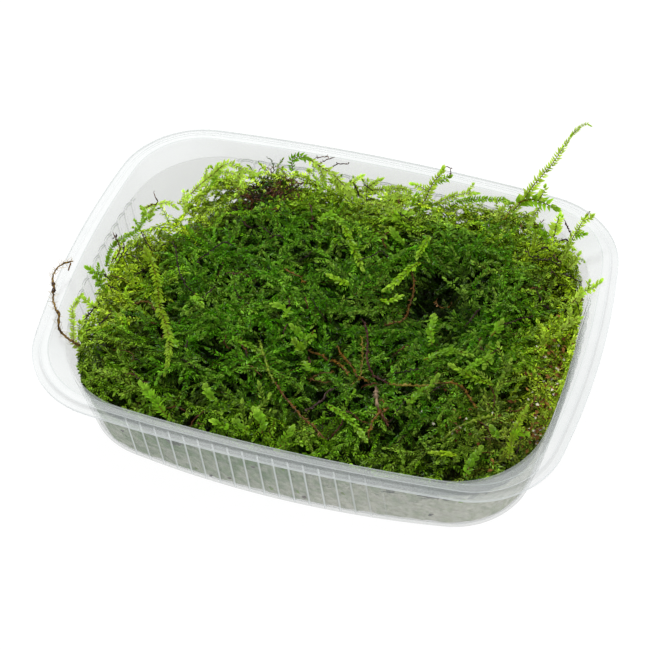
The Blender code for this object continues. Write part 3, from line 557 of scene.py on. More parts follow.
def outline(half_length, half_depth, corner, bow_short, bow_long, inset):
    """Points of a rectangle with bowed sides and round corners, and their normals."""
    radius_short = (half_depth ** 2 + bow_short ** 2) / (2 * bow_short) - inset
    radius_long = (half_length ** 2 + bow_long ** 2) / (2 * bow_long) - inset
    half_length -= inset
    half_depth -= inset
    corner -= inset
    short_centre = half_length - radius_short
    long_centre = half_depth - radius_long
    reach_short = radius_short - corner
    reach_long = radius_long - corner
    span = math.hypot(short_centre, long_centre)
    along = (span ** 2 + reach_short ** 2 - reach_long ** 2) / (2 * span)
    across = math.sqrt(reach_short ** 2 - along ** 2)
    toward = Vector((-short_centre, long_centre)) / span
    beside = Vector((-toward.y, toward.x))
    if beside.x + beside.y < 0:
        beside = -beside
    centre = Vector((short_centre, 0)) + toward * along + beside * across
    turn_short = math.atan2(centre.y, centre.x - short_centre)
    turn_long = math.atan2(centre.y - long_centre, centre.x)
    pi = math.pi
    x, y = centre
    right, back, left, front = SIDE_SHARES
    points, normals = zip(
        arc((short_centre, 0), radius_short, -turn_short, turn_short, right),
        arc((x, y), corner, turn_short, turn_long, CORNER_SHARES),
        arc((0, long_centre), radius_long, turn_long, pi - turn_long, back),
        arc((-x, y), corner, pi - turn_long, pi - turn_short, CORNER_SHARES),
        arc((-short_centre, 0), radius_short, pi - turn_short, pi + turn_short, left),
        arc((-x, -y), corner, pi + turn_short, pi + turn_long, CORNER_SHARES),
        arc((0, -long_centre), radius_long, pi + turn_long, 2 * pi - turn_long, front),
        arc((x, -y), corner, 2 * pi - turn_long, 2 * pi - turn_short, CORNER_SHARES))
    return np.concatenate(points), np.concatenate(normals)


def around(pattern):
    """A value for each point of a loop: a pattern across each rib, and 0 at the corners."""
    parts = []
    for ribs, phase in SIDES:
        order = np.argsort((np.array(RIB_POINTS) + phase) % 1.0)
        parts += [np.tile(np.array(pattern)[order], ribs), np.zeros(CORNER_STEPS)]
    return np.concatenate(parts)


def rib_swell():
    """How far the wall swells at each point of a loop, from 0 in a valley to 1."""
    across = np.clip((np.array(RIB_POINTS) - VALLEY) / (1 - 2 * VALLEY), 0, 1)
    fade = []
    for shares, (ribs, phase) in zip(SIDE_SHARES, SIDES):
        near_end = np.minimum(shares, 1 - shares) * ribs
        fade += [smoothstep(0.0, 0.6, near_end), np.zeros(CORNER_STEPS)]
    return around(np.sin(np.pi * across) ** RIB_POWER) * np.concatenate(fade)


SWELL = rib_swell()
FRONT = np.concatenate([np.r_[np.full(ribs * len(RIB_POINTS), side == 3), np.zeros(CORNER_STEPS)]
                        for side, (ribs, phase) in enumerate(SIDES)])


def at_height(points, height):
    return np.column_stack([points, np.full(len(points), height)])


def rim_ring(inset, height):
    points, _ = outline(RIM_LENGTH / 2, RIM_DEPTH / 2, CORNER_RADIUS, BOW_SHORT, BOW_LONG, inset)
    return at_height(points, height)


def wall_ring(inset, height, rib=0.0):
    """A loop of the wall; rib is the share of the bulge, one for all or one for each point."""
    share = min(height / WALL_TOP, 1.0)
    points, normals = outline(
        RIM_LENGTH / 2 - mix(WALL_FOOT_INSET, WALL_TOP_INSET, share),
        RIM_DEPTH / 2 - mix(WALL_FOOT_INSET, WALL_TOP_INSET, share),
        mix(WALL_FOOT_CORNER, WALL_TOP_CORNER, share),
        mix(WALL_FOOT_BOW_SHORT, BOW_SHORT, share),
        mix(WALL_FOOT_BOW_LONG, BOW_LONG, share),
        inset)
    return at_height(points + normals * (RIB_BULGE * rib * SWELL)[:, None], height)


def step_toward(corner, other, distance):
    gap = other - corner
    length = np.linalg.norm(gap, axis=1, keepdims=True)
    return corner + gap / length * np.minimum(distance, length * 0.45)


def rounded_rows(corners):
    """Rows through corners of ring, rounding, ridge and line; a rounding becomes a short curve."""
    rows = []
    ridges = []
    lines = []
    for index, (ring, rounding, ridge, line) in enumerate(corners):
        if rounding == 0.0 or index in (0, len(corners) - 1):
            rows.append(ring)
            ridges.append(ridge)
            lines.append(line)
            continue
        start = step_toward(ring, corners[index - 1][0], rounding)
        end = step_toward(ring, corners[index + 1][0], rounding)
        for share in np.linspace(0, 1, 5):
            rows.append((1 - share) ** 2 * start + 2 * share * (1 - share) * ring
                        + share ** 2 * end)
            ridges.append(ridge if share == 0.5 else 0.0)
            lines.append(line if share == 0.5 else 0.0)
    return rows, ridges, lines


# Meshes


def mesh_object(name, points, faces, tints=None):
    """An object from arrays of points and of triangles or quads."""
    mesh = bpy.data.meshes.new(name)
    sides = faces.shape[1]
    mesh.vertices.add(len(points))
    mesh.vertices.foreach_set("co", points.astype(np.float32).ravel())
    mesh.loops.add(faces.size)
    mesh.loops.foreach_set("vertex_index", faces.astype(np.int32).ravel())
    mesh.polygons.add(len(faces))
    mesh.polygons.foreach_set("loop_start", np.arange(0, faces.size, sides, dtype=np.int32))
    mesh.update(calc_edges=True)
    mesh.validate()
    mesh.shade_smooth()
    if tints is not None:
        colours = np.ones((len(points), 4), np.float32)
        colours[:, :3] = tints
        tint = mesh.attributes.new("tint", "FLOAT_COLOR", "POINT")
        tint.data.foreach_set("color", colours.ravel())
    made = bpy.data.objects.new(name, mesh)
    bpy.context.scene.collection.objects.link(made)
    return made


def ring_faces(rings, count):
    """Triangles between neighbouring rings of so many points each."""
    start = np.arange(count)
    after = (start + 1) % count
    quad = np.stack([start, after, after + count, start + count], 1)
    quads = (quad[None] + (np.arange(rings - 1) * count)[:, None, None]).reshape(-1, 4)
    return np.concatenate([quads[:, (0, 1, 2)], quads[:, (0, 2, 3)]])


def finish_piece(made, look, slot, *nodes):
    made.data.materials.clear()
    made.data.materials.append(look)
    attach(made, "root")
    if nodes:
        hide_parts(*nodes)
    return made


# Tub


def profile(ring, rounding=0.0, ridge=0.0, line=0.0):
    """A ring of the tub, its rounding, and how much it shows as a white ridge, which on the rim is
    a painted highlight, and a grey line.
    """
    return ring, rounding, ridge, line


def floor_rows(height):
    """Rows from near the middle of the floor outward."""
    foot = wall_ring(FOOT_ROUNDING, 0.0)
    return [profile(foot * (share, share, 1) + (0, 0, height)) for share in FLOOR_SHARES]


def wall_rows(inset):
    """Rows up the ribs of the wall."""
    return [profile(wall_ring(inset, height, mix(rib, front_rib, FRONT)),
                    line=mix(line, front_line, FRONT))
            for height, front_rib, rib, front_line, line in RIB_ROWS]


def make_tub(look):
    lip = LEDGE_WIDTH + LIP_WIDTH
    band = lip + BAND_WIDTH
    ledge_top = TUB_HEIGHT - LEDGE_DROP
    inner_foot = profile(wall_ring(SKIN, SKIN), FOOT_ROUNDING)
    outer_foot = profile(wall_ring(0.0, 0.0), FOOT_ROUNDING)
    corners = floor_rows(SKIN) + [inner_foot] + wall_rows(SKIN) + [
        # painted highlights: the white ridges at the wall top, on the lip and at the rim's outer
        # edge
        profile(wall_ring(SKIN, WALL_TOP), 0.0007, 0.3, 0.2),
        profile(rim_ring(band, TUB_HEIGHT), 0.0007, 0.0, 0.9),
        profile(rim_ring(lip, TUB_HEIGHT), 0.0006, 0.8),
        profile(rim_ring(LEDGE_WIDTH, ledge_top), 0.0003),
        profile(rim_ring(RIM_EDGE_BAND, ledge_top)),
        profile(rim_ring(0.0, ledge_top), 0.0, 0.8),
        profile(rim_ring(0.0, ledge_top - SKIN), 0.0, 0.8),
        profile(rim_ring(RIM_EDGE_BAND, ledge_top - SKIN)),
        profile(rim_ring(LEDGE_WIDTH, ledge_top - SKIN), 0.0003, 0.0, 0.3),
        profile(rim_ring(lip + SKIN / 2, TUB_HEIGHT - SKIN), 0.0004, 0.0, 0.3),
        profile(rim_ring(band - SKIN / 2, TUB_HEIGHT - SKIN), 0.0006),
        profile(wall_ring(0.0, WALL_TOP - SKIN / 2), 0.0003),
    ] + wall_rows(0.0)[::-1] + [outer_foot] + floor_rows(0.0)[::-1]
    rows, row_ridges, row_lines = rounded_rows(corners)
    count = len(rows[0])
    start = np.arange(count)
    after = (start + 1) % count
    points = np.concatenate(rows + [np.array([(0, 0, SKIN), (0, 0, 0)])])
    inner_centre = len(rows) * count
    last_row = inner_centre - count
    fans = np.concatenate([
        np.stack([after, start, np.full(count, inner_centre)], 1),
        np.stack([start + last_row, after + last_row, np.full(count, inner_centre + 1)], 1)])
    tub = mesh_object("tub_shell", points, np.concatenate([ring_faces(len(rows), count), fans]))
    at_front = np.resize(FRONT, len(points))
    crease_top = mix(CREASE_TOP, FRONT_CREASE_TOP, at_front)
    on_wall = (points[:, 2] > FOOT_ROUNDING) & (points[:, 2] < crease_top)
    edge_row = int(np.argmax([row[:, 0].max() for row in rows]))
    outside = np.arange(len(points)) >= edge_row * count
    fade = 1 - smoothstep(*CREASE_FADE, points[:, 0])
    strength = on_wall * outside * mix(BACK_CREASE, fade, at_front)
    for name, pattern, row_values in (("ridge", VALLEY_RIDGE, row_ridges),
                                      ("line", VALLEY_LINES, row_lines)):
        values = np.resize(around(pattern), len(points)) * strength
        along = np.concatenate([np.broadcast_to(value, count) for value in row_values])
        swollen = np.where(on_wall[:len(along)], np.tile(SWELL, len(rows)) > 0.1, True)
        values[:len(along)] = np.maximum(values[:len(along)], along * swollen)
        stored = tub.data.attributes.new(name, "FLOAT", "POINT")
        stored.data.foreach_set("value", values.astype(np.float32))
    return finish_piece(tub, look, "tub", "tub")


# The room inside the tub


POLAR_STEPS = 720
POLAR_ANGLES = np.linspace(-math.pi, math.pi, POLAR_STEPS + 1)


def polar_limit(points):
    """Distance from the middle to a loop, for each of the polar angles."""
    angles = np.arctan2(points[:, 1], points[:, 0])
    order = np.argsort(angles)
    return np.interp(POLAR_ANGLES, angles[order], np.hypot(points[:, 0], points[:, 1])[order],
                     period=2 * math.pi)


FOOT_LIMIT = polar_limit(wall_ring(SKIN, 0.0))
WALL_LIMIT = polar_limit(wall_ring(SKIN, WALL_TOP))
BAND_LIMIT = polar_limit(rim_ring(LEDGE_WIDTH + LIP_WIDTH + BAND_WIDTH, TUB_HEIGHT))
OPEN_AIR = 0.050               # added to the limit above the rim
ROOM_ANGLES = np.radians([angle for angle, room in MOSS_ROOM])
ROOM_DEPTHS = [room for angle, room in MOSS_ROOM]
POLAR_ROOM = np.interp(POLAR_ANGLES, ROOM_ANGLES, ROOM_DEPTHS)
MOSS_LIMIT = WALL_LIMIT - POLAR_ROOM
MAT_ROOM = MAT_LEAST_ROOM + POLAR_ROOM * MAT_ROOM_SHARE


def wall_distance(points):
    """The largest distance from the middle at each point's angle and height."""
    angles = np.arctan2(points[:, 1], points[:, 0])
    foot = np.interp(angles, POLAR_ANGLES, FOOT_LIMIT)
    wall = np.interp(angles, POLAR_ANGLES, WALL_LIMIT)
    band = np.interp(angles, POLAR_ANGLES, BAND_LIMIT)
    height = points[:, 2]
    low = mix(foot, wall, np.clip(height / WALL_TOP, 0, 1))
    limit = mix(low, band, np.clip((height - WALL_TOP) / SHOULDER_DROP, 0, 1))
    return limit + np.where(height > TUB_HEIGHT, OPEN_AIR, 0.0)


def keep_inside(points, margin):
    """Points with those beyond the wall's inner face drawn back to it."""
    distance = np.hypot(points[:, 0], points[:, 1])
    limit = wall_distance(points) - margin
    share = np.minimum(1.0, limit / np.maximum(distance, 1e-6))
    kept = points.copy()
    kept[:, :2] *= share[:, None]
    kept[:, 2] = np.maximum(kept[:, 2], SKIN + margin)
    return kept


# Top of the moss


def lump_table():
    columns = np.arange(-0.090, 0.0901, LUMP_TABLE_STEP)
    rows = np.arange(-0.068, 0.0681, LUMP_TABLE_STEP)
    table = np.array([[noise.noise(Vector((x / LUMP_SIZE, y / LUMP_SIZE, 0.7))) for x in columns]
                      for y in rows])
    return columns, rows, table


LUMP_COLUMNS, LUMP_ROWS, LUMPS = lump_table()


def lump(x, y):
    across = np.clip((x - LUMP_COLUMNS[0]) / LUMP_TABLE_STEP, 0, len(LUMP_COLUMNS) - 1.001)
    along = np.clip((y - LUMP_ROWS[0]) / LUMP_TABLE_STEP, 0, len(LUMP_ROWS) - 1.001)
    column = across.astype(int)
    row = along.astype(int)
    right = across - column
    up = along - row
    lower = mix(LUMPS[row, column], LUMPS[row, column + 1], right)
    upper = mix(LUMPS[row + 1, column], LUMPS[row + 1, column + 1], right)
    return mix(lower, upper, up)


def open_height(x, y):
    """The top of the moss without its hollows."""
    along = np.maximum(0.0, 1 - (np.abs(x) / HEAP_HALF_LENGTH) ** 3)
    across = np.maximum(0.0, 1 - (np.abs(y) / HEAP_HALF_DEPTH) ** 3)
    height = HEAP_EDGE + HEAP_CROWN * np.sqrt(along * across)
    height = height + HEAP_BACK_RISE * np.maximum(0.0, y / HEAP_HALF_DEPTH) ** 2
    height = height + HEAP_LEFT_RISE * np.maximum(0.0, -x / HEAP_HALF_LENGTH) ** 2
    height = height + LUMP_HEIGHT * lump(x, y)
    room = np.interp(np.arctan2(y, x), ROOM_ANGLES, ROOM_DEPTHS)
    loose = smoothstep(0.007, 0.013, room)
    return height - EDGE_FALL * loose * smoothstep(-0.012, 0.0, beyond_edge(x, y))


def heap_height(x, y):
    height = open_height(x, y)
    for centre_x, centre_y, radius, depth in HOLLOWS:
        distance = np.hypot(x - centre_x, y - centre_y) / radius
        height = height - depth * np.exp(-distance ** 2)
    return height


def beyond_edge(x, y):
    """How far a place lies outside the moss's outline; negative inside it."""
    x = np.asarray(x, float)
    y = np.asarray(y, float)
    return np.hypot(x, y) - np.interp(np.arctan2(y, x), POLAR_ANGLES, MOSS_LIMIT)


def light_from_side(x, y):
    """1 at the sides and the back, where light comes through the moss, to 0 inside it; it places
    painted light.
    """
    near = smoothstep(-0.026, -0.002, beyond_edge(x, y))
    return near * (1 - 0.75 * smoothstep(-0.018, -0.044, y))


def depth_shade(points):
    """How dark the moss is painted at each point: a little painted light at the top, painted shade
    growing with depth under the top without its hollows, so the hollows are painted dark too, and
    painted light at the sides and back.
    """
    depth = open_height(points[:, 0], points[:, 1]) - points[:, 2]
    shade = mix(1.12, DEEPEST_SHADE, smoothstep(-0.0012, SHADE_DEPTH, depth))
    return mix(shade, 1.0, light_from_side(points[:, 0], points[:, 1]) * 0.8)[:, None]


# Stems stay in view: leaves of the moss that would lie over them are left out


CLEAR_CELL = 0.0005
CLEAR_CORNER = np.array((-0.0910, -0.0690))
clear_top = np.full((364, 276), np.inf)


def clear_over(way, radius):
    """Nothing grows over this way, within a radius of it."""
    reach = int(radius / CLEAR_CELL) + 1
    for x, y, z in way:
        column, row = ((np.array((x, y)) - CLEAR_CORNER) / CLEAR_CELL).astype(int)
        for i in range(column - reach, column + reach + 1):
            for j in range(row - reach, row + reach + 1):
                cell = CLEAR_CORNER + (np.array((i, j)) + 0.5) * CLEAR_CELL
                inside = 0 <= i < clear_top.shape[0] and 0 <= j < clear_top.shape[1]
                if inside and math.hypot(cell[0] - x, cell[1] - y) < radius:
                    clear_top[i, j] = min(clear_top[i, j], z)


def is_clear(points):
    cells = ((points[:, :2] - CLEAR_CORNER) / CLEAR_CELL).astype(int)
    columns = np.clip(cells[:, 0], 0, clear_top.shape[0] - 1)
    rows = np.clip(cells[:, 1], 0, clear_top.shape[1] - 1)
    return points[:, 2] < clear_top[columns, rows]


# Places given by a pixel of the photograph, on the object that carries them


PHOTO_MIDDLE = PHOTO_SIZE / 2
PHOTO_FOCAL = CAMERA_LENS / SENSOR_WIDTH * PHOTO_SIZE


def sight(pixel_x, pixel_y):
    """The direction in which the camera sees a pixel of the square photograph."""
    right = (pixel_x - PHOTO_MIDDLE) / PHOTO_FOCAL
    down = (pixel_y - PHOTO_MIDDLE) / PHOTO_FOCAL
    return (np.array(CAMERA_FORWARD) + np.array(CAMERA_RIGHT) * right
            - np.array(CAMERA_UP) * down)


def at_level(pixel_x, pixel_y, height):
    direction = sight(pixel_x, pixel_y)
    place = np.array(CAMERA_PLACE)
    return place + direction * (height - place[2]) / direction[2]


def on_heap(pixel_x, pixel_y, lift):
    """The place on the moss, or at a lift above it, that the camera sees at a pixel."""
    height = 0.036 + lift
    for _ in range(30):
        spot = at_level(pixel_x, pixel_y, height)
        height = mix(height, float(heap_height(spot[0], spot[1])) + lift, 0.5)
    return at_level(pixel_x, pixel_y, height)


# Leaves and stems


LEAF_SHAPES = {
    # rows of: share of the length, share of the half width, shade
    "round": (((0, 0, 0.60), (0.22, -0.80, 0.95), (0.22, 0.80, 0.95), (0.55, -1.0, 1.08),
               (0.55, 1.0, 1.08), (0.85, -0.65, 1.16), (0.85, 0.65, 1.16), (1, 0, 1.2),
               (0.5, 0, 0.86)),
              ((0, 2, 8), (2, 4, 8), (4, 6, 8), (6, 7, 8), (7, 5, 8), (5, 3, 8), (3, 1, 8),
               (1, 0, 8))),
    "sharp": (((0, 0, 0.72), (0.24, -1.0, 0.95), (0.24, 1.0, 0.95), (0.62, -0.58, 1.1),
               (0.62, 0.58, 1.1), (1, 0, 1.3), (0.45, 0, 0.88)),
              ((0, 2, 6), (2, 4, 6), (4, 5, 6), (5, 3, 6), (3, 1, 6), (1, 0, 6))),
    "plain": (((0, 0, 0.62), (0.45, -1, 1.08), (0.45, 1, 1.08), (1, 0, 1.15), (0.45, 0, 0.85)),
              ((0, 2, 4), (2, 3, 4), (3, 1, 4), (1, 0, 4))),
    "kite": (((0, 0, 0.66), (0.45, -1, 1.0), (0.45, 1, 1.0), (1, 0, 1.15)),
             ((0, 2, 3), (0, 3, 1))),
}
LEAF_FOLD = 0.45
LEAF_DROOP = 0.16


class Tangle:
    """Leaves and stems that are gathered first and become one mesh at the end."""

    def __init__(self, shape, cleared=False):
        self.shape = shape
        self.cleared = cleared
        self.spread = MOSS_LIGHT_SPREAD if cleared else LIGHT_SPREAD
        self.leaves = []
        self.points = []
        self.faces = []
        self.tints = []
        self.count = 0

    def add_leaves(self, bases, directions, normals, lengths, widths, tints):
        self.leaves.append((bases, directions, normals, lengths, widths, tints))

    def add_leaf(self, *leaf):
        self.add_leaves(*[np.array([value]) for value in leaf])

    def add_mesh(self, points, faces, tints):
        self.points.append(points)
        self.faces.append(faces + self.count)
        self.tints.append(tints)
        self.count += len(points)

    def add_stem(self, way, radii, tint, sides=3):
        if len(way) < 2:
            return
        forward = unit(np.gradient(way, axis=0))
        side = unit(np.cross(forward, (0.13, 0.21, 0.97)))
        up = np.cross(side, forward)
        angles = 2 * math.pi * np.arange(sides) / sides
        offsets = (side[:, None] * np.cos(angles)[None, :, None]
                   + up[:, None] * np.sin(angles)[None, :, None])
        radii = np.broadcast_to(radii, len(way))
        points = (way[:, None] + offsets * radii[:, None, None]).reshape(-1, 3)
        tints = np.repeat(np.broadcast_to(tint, (len(way), 3)), sides, axis=0)
        self.add_mesh(points, ring_faces(len(way), sides), tints)

    def close(self):
        """Turns the gathered leaves into points and faces."""
        if self.leaves:
            columns = [np.concatenate(column) for column in zip(*self.leaves)]
            if self.cleared:
                bases, directions, _, lengths, _, _ = columns
                kept = is_clear(bases + directions * lengths[:, None] * 0.5)
                columns = [column[kept] for column in columns]
            bases, directions, normals, lengths, widths, tints = columns
            template, triangles = LEAF_SHAPES[self.shape]
            corners = len(template)
            along, across, shade = np.array(template, float).T[:, None, :, None]
            normals = unit(normals - directions * np.sum(normals * directions, 1, keepdims=True))
            sides = np.cross(directions, normals)
            length = lengths[:, None, None]
            width = widths[:, None, None]
            rise = LEAF_FOLD * np.abs(across) * width - LEAF_DROOP * along ** 2 * length
            points = (bases[:, None] + directions[:, None] * along * length
                      + sides[:, None] * across * width + normals[:, None] * rise)
            faces = (np.array(triangles)[None]
                     + (np.arange(len(bases)) * corners)[:, None, None]).reshape(-1, 3)
            self.add_mesh(points.reshape(-1, 3), faces, (tints[:, None] * shade).reshape(-1, 3))
            self.leaves = []
        return (np.concatenate(self.points), np.concatenate(self.faces),
                np.concatenate(self.tints))


def frames(way, facing):
    forward = unit(np.gradient(way, axis=0))
    side = unit(np.cross(forward, facing))
    return forward, side, np.cross(side, forward)


def dress(tangle, rng, way, facing, tint, tip_tint, stem_tint, size=1.0, dorsal=0.5,
          taper_base=0.6, broad=1.0, splay=LEAF_ANGLE):
    """Gives a way its two rows of leaves, a row on its upper side, a bud and a stem."""
    count = len(way)
    size = np.broadcast_to(size, count)
    forward, side, up = frames(way, facing)
    share = np.arange(count) / (count - 1)
    sign = np.where(np.arange(count) % 2, 1.0, -1.0)[:, None]
    angle = rng.normal(splay, 0.13, count) * mix(1.0, 0.40, smoothstep(0.75, 1.0, share))
    rise = rng.normal(0.10, 0.22, count)
    directions = unit(forward * np.cos(angle)[:, None] + side * sign * np.sin(angle)[:, None]
                      + up * rise[:, None])
    normals = up + side * sign * rng.normal(0.25, 0.35, count)[:, None]
    grow = size * mix(taper_base, 1.0, smoothstep(0.0, 0.25, share))
    grow = grow * mix(1.0, 0.72, smoothstep(0.85, 1.0, share)) * rng.uniform(0.8, 1.2, count)
    tints = mix_tint(tint, tip_tint, smoothstep(0.55, 1.0, share))
    shade = depth_shade(way)
    light = 1 + tangle.spread * (rng.random(count) ** 2 - 0.36)
    tints = tints * light[:, None] * shade
    half_width = LEAF_HALF_WIDTH * broad
    tangle.add_leaves(way, directions, normals, LEAF_LENGTH * grow,
                      half_width * grow * rng.uniform(0.85, 1.15, count), tints)
    on_top = (rng.random(count) < dorsal) | (share > 1 - BUD_SHARE)
    if on_top.any():
        lean = rng.normal(0.0, 0.45, count)[:, None]
        above = unit(forward * 0.85 + up * 0.5 + side * lean)
        tangle.add_leaves(way[on_top], above[on_top], (up + side * lean * 0.5)[on_top],
                          LEAF_LENGTH * grow[on_top] * 0.85,
                          half_width * grow[on_top] * 0.95, tints[on_top])
    spread = np.linspace(BUD_SPREAD, -BUD_SPREAD, BUD_LEAVES)[:, None]
    tip = np.repeat(way[-1:], BUD_LEAVES, 0) - forward[-1] * np.abs(spread) * 0.0012
    rise = rng.normal(0.05, 0.12, (BUD_LEAVES, 1))
    tangle.add_leaves(tip, unit(forward[-1] + side[-1] * spread + up[-1] * rise),
                      up[-1] + side[-1] * spread,
                      np.full(BUD_LEAVES, LEAF_LENGTH * size[-1]),
                      np.full(BUD_LEAVES, LEAF_HALF_WIDTH * size[-1] * 1.25),
                      np.tile(np.asarray(tip_tint, float) * shade[-1], (BUD_LEAVES, 1)))
    picked = np.arange(0, count, 3 if count > 6 else 1)
    tangle.add_stem(way[picked], STEM_RADIUS * size[picked] * np.linspace(1.2, 0.6, len(picked)),
                    np.asarray(stem_tint) * shade[picked])


def wander(rng, x, y, heading, length, curl, lift_start, lift_end, arch=0.0, wobble=0.10,
           step=LEAF_STEP):
    """A way over the heap: it starts and ends at given heights above it."""
    count = max(4, int(length / step))
    share = np.arange(count) / (count - 1)
    headings = heading + curl * share + np.cumsum(rng.normal(0, wobble, count))
    xs = x + np.cumsum(np.cos(headings)) * step
    ys = y + np.cumsum(np.sin(headings)) * step
    lift = mix(lift_start, lift_end, share ** 1.4) + arch * np.sin(math.pi * share)
    lift = lift - EDGE_DROOP * smoothstep(-0.006, 0.001, beyond_edge(xs, ys))
    return keep_inside(np.column_stack([xs, ys, heap_height(xs, ys) + lift]), SHOOT_ROOM)


def smooth_way(points, step=LEAF_STEP):
    """Evenly spaced points on a smooth curve through the given ones."""
    given = np.array(points, float)
    ends = np.concatenate([[given[0] * 2 - given[1]], given, [given[-1] * 2 - given[-2]]])
    dense = []
    for index in range(len(given) - 1):
        before, start, end, after = ends[index:index + 4]
        for t in np.arange(12) / 12:
            dense.append(0.5 * (2 * start + (end - before) * t
                                + (2 * before - 5 * start + 4 * end - after) * t ** 2
                                + (3 * start - 3 * end + after - before) * t ** 3))
    dense.append(given[-1])
    dense = np.array(dense)
    lengths = np.concatenate([[0.0], np.cumsum(np.linalg.norm(np.diff(dense, axis=0), axis=1))])
    count = max(3, int(round(lengths[-1] / step)) + 1)
    target = np.linspace(0, lengths[-1], count)
    return np.stack([np.interp(target, lengths, dense[:, axis]) for axis in range(3)], 1)


# Lie of the shoots


def lie(rng, x, y):
    """A heading for a shoot: neighbours lie in locks, and those at the edge point outward."""
    turn = LOCK_TURN * noise.noise(Vector((x / LOCK_SIZE, y / LOCK_SIZE, 3.1)))
    heading = mix(*HEADINGS, float(smoothstep(-0.010, 0.045, x))) + turn
    if rng.random() < 0.4:
        heading += math.pi
    edge = float(smoothstep(-0.014, -0.002, beyond_edge(x, y)))
    if rng.random() < edge * 0.75:
        heading = math.atan2(y, x)
    return heading + rng.normal(0, 0.42)


# Colours over the moss


def in_patch(x, y, patch):
    """1 in the middle of a patch, less away from it."""
    middle_x, middle_y, spread_x, spread_y = patch
    return math.exp(-((x - middle_x) / spread_x) ** 2 - ((y - middle_y) / spread_y) ** 2)


def local_tint(rng, x, y, age):
    """The colour of a shoot by its place, and age from 0, young, to 1, old. At the sides and back
    it gets painted light: paler, yellower and less darkened by age; in the middle it gets painted
    shade.
    """
    lit = float(light_from_side(x, y))
    # painted light: shoots at the sides and back, lit from behind, are paler and yellower
    tint = mix_tint(MIDDLE, PAINTED_BACKLIGHT_TINT, lit * rng.uniform(0.6, 1.1))
    tint = mix_tint(tint, DARK, age * (1 - 0.8 * lit))
    tint = mix_tint(tint, OLIVE, in_patch(x, y, OLIVE_PATCH) * rng.uniform(0.2, 0.9))
    tint = mix_tint(tint, YOUNG, rng.random() ** 3 * (0.3 + 0.5 * lit))
    # painted shade darkens the middle of the moss
    return tint * rng.uniform(0.75, 1.25) * (1 - 0.30 * in_patch(x, y, PAINTED_SHADE_MIDDLE))


# The moss


def open_side(y):
    """1 at the sides and the back, where the edge of the moss is loose, to 0.15 in front."""
    return mix(1.0, 0.15, smoothstep(-0.020, -0.045, y))


def random_places(rng, count, inside):
    """Places over the whole moss, evenly spread, at least this far inside its loose edge."""
    places = []
    while len(places) < count:
        x = rng.uniform(-0.084, 0.084)
        y = rng.uniform(-0.062, 0.062)
        if beyond_edge(x, y) < -inside * open_side(y):
            places.append((x, y))
    return places


def pull_in(way, inside, most=0.0015):
    """A way with its points drawn back to the edge of the moss, or this far inside it."""
    beyond = beyond_edge(way[:, 0], way[:, 1]) + inside * open_side(way[:, 1]) - most
    distance = np.hypot(way[:, 0], way[:, 1])
    pulled = way.copy()
    pulled[:, :2] *= (1 - np.maximum(beyond, 0) * 0.9 / distance)[:, None]
    return pulled


def add_layer(tangle, rng, count, lengths, lift_starts, lift_ends, ages, size, dorsal, inside,
              side_shoots):
    """Shoots all over the moss, with a chance of side shoots along the longer ones."""
    for x, y in random_places(rng, count, inside):
        grown = size * rng.uniform(0.8, 1.2)
        way = wander(rng, x, y, lie(rng, x, y), rng.uniform(*lengths), rng.normal(0, 0.7),
                     rng.uniform(*lift_starts), rng.uniform(*lift_ends), rng.uniform(0, 0.0012),
                     step=LEAF_STEP * grown)
        way = pull_in(way, inside)
        middle = way[len(way) // 2]
        age = rng.uniform(*ages)
        tint = local_tint(rng, middle[0], middle[1], age)
        tip = mix_tint(tint, YOUNG, rng.uniform(0.05, 0.35) * (1 - 0.6 * age))
        facing = unit(np.array((0, 0, 1)) + rng.normal(0, 0.28, 3))
        stem = mix_tint(BROWN, MIDDLE, rng.random())
        dress(tangle, rng, way, facing, tint, tip, stem, grown, dorsal)
        if side_shoots and len(way) > 12:
            add_side_shoots(tangle, rng, way, facing, tint, tip, stem, grown, side_shoots)


def add_side_shoots(tangle, rng, way, facing, tint, tip, stem, size, chance,
                    lengths=(0.003, 0.008), broad=1.0):
    forward, side, up = frames(way, facing)
    sign = 1.0
    for index in range(4, len(way) - 3, 4):
        if rng.random() > chance:
            continue
        sign = -sign
        direction = unit(forward[index] * 0.7 + side[index] * sign * 0.8
                         + up[index] * rng.normal(0.1, 0.2))
        bend = forward[index] * rng.uniform(0.0, 0.5) - up[index] * rng.uniform(0.0, 0.3)
        length = rng.uniform(*lengths)
        count = max(4, int(length / (LEAF_STEP * size * SIDE_SHOOT_SIZE)))
        share = (np.arange(count) / (count - 1))[:, None]
        branch = way[index] + (direction * share + bend * share ** 2 * 0.5) * length
        branch = keep_inside(pull_in(branch, 0.0, 0.002), SHOOT_ROOM)
        dress(tangle, rng, branch, up[index], tint, tip, stem, size * SIDE_SHOOT_SIZE,
              dorsal=0.3, taper_base=0.7, broad=broad)


def make_moss_piece(name, tangle, look, slot, *nodes):
    points, faces, tints = tangle.close()
    made = mesh_object(name, keep_inside(points, LEAF_ROOM), faces, tints)
    print(name, len(faces), "triangles")
    return finish_piece(made, look, slot, *nodes)


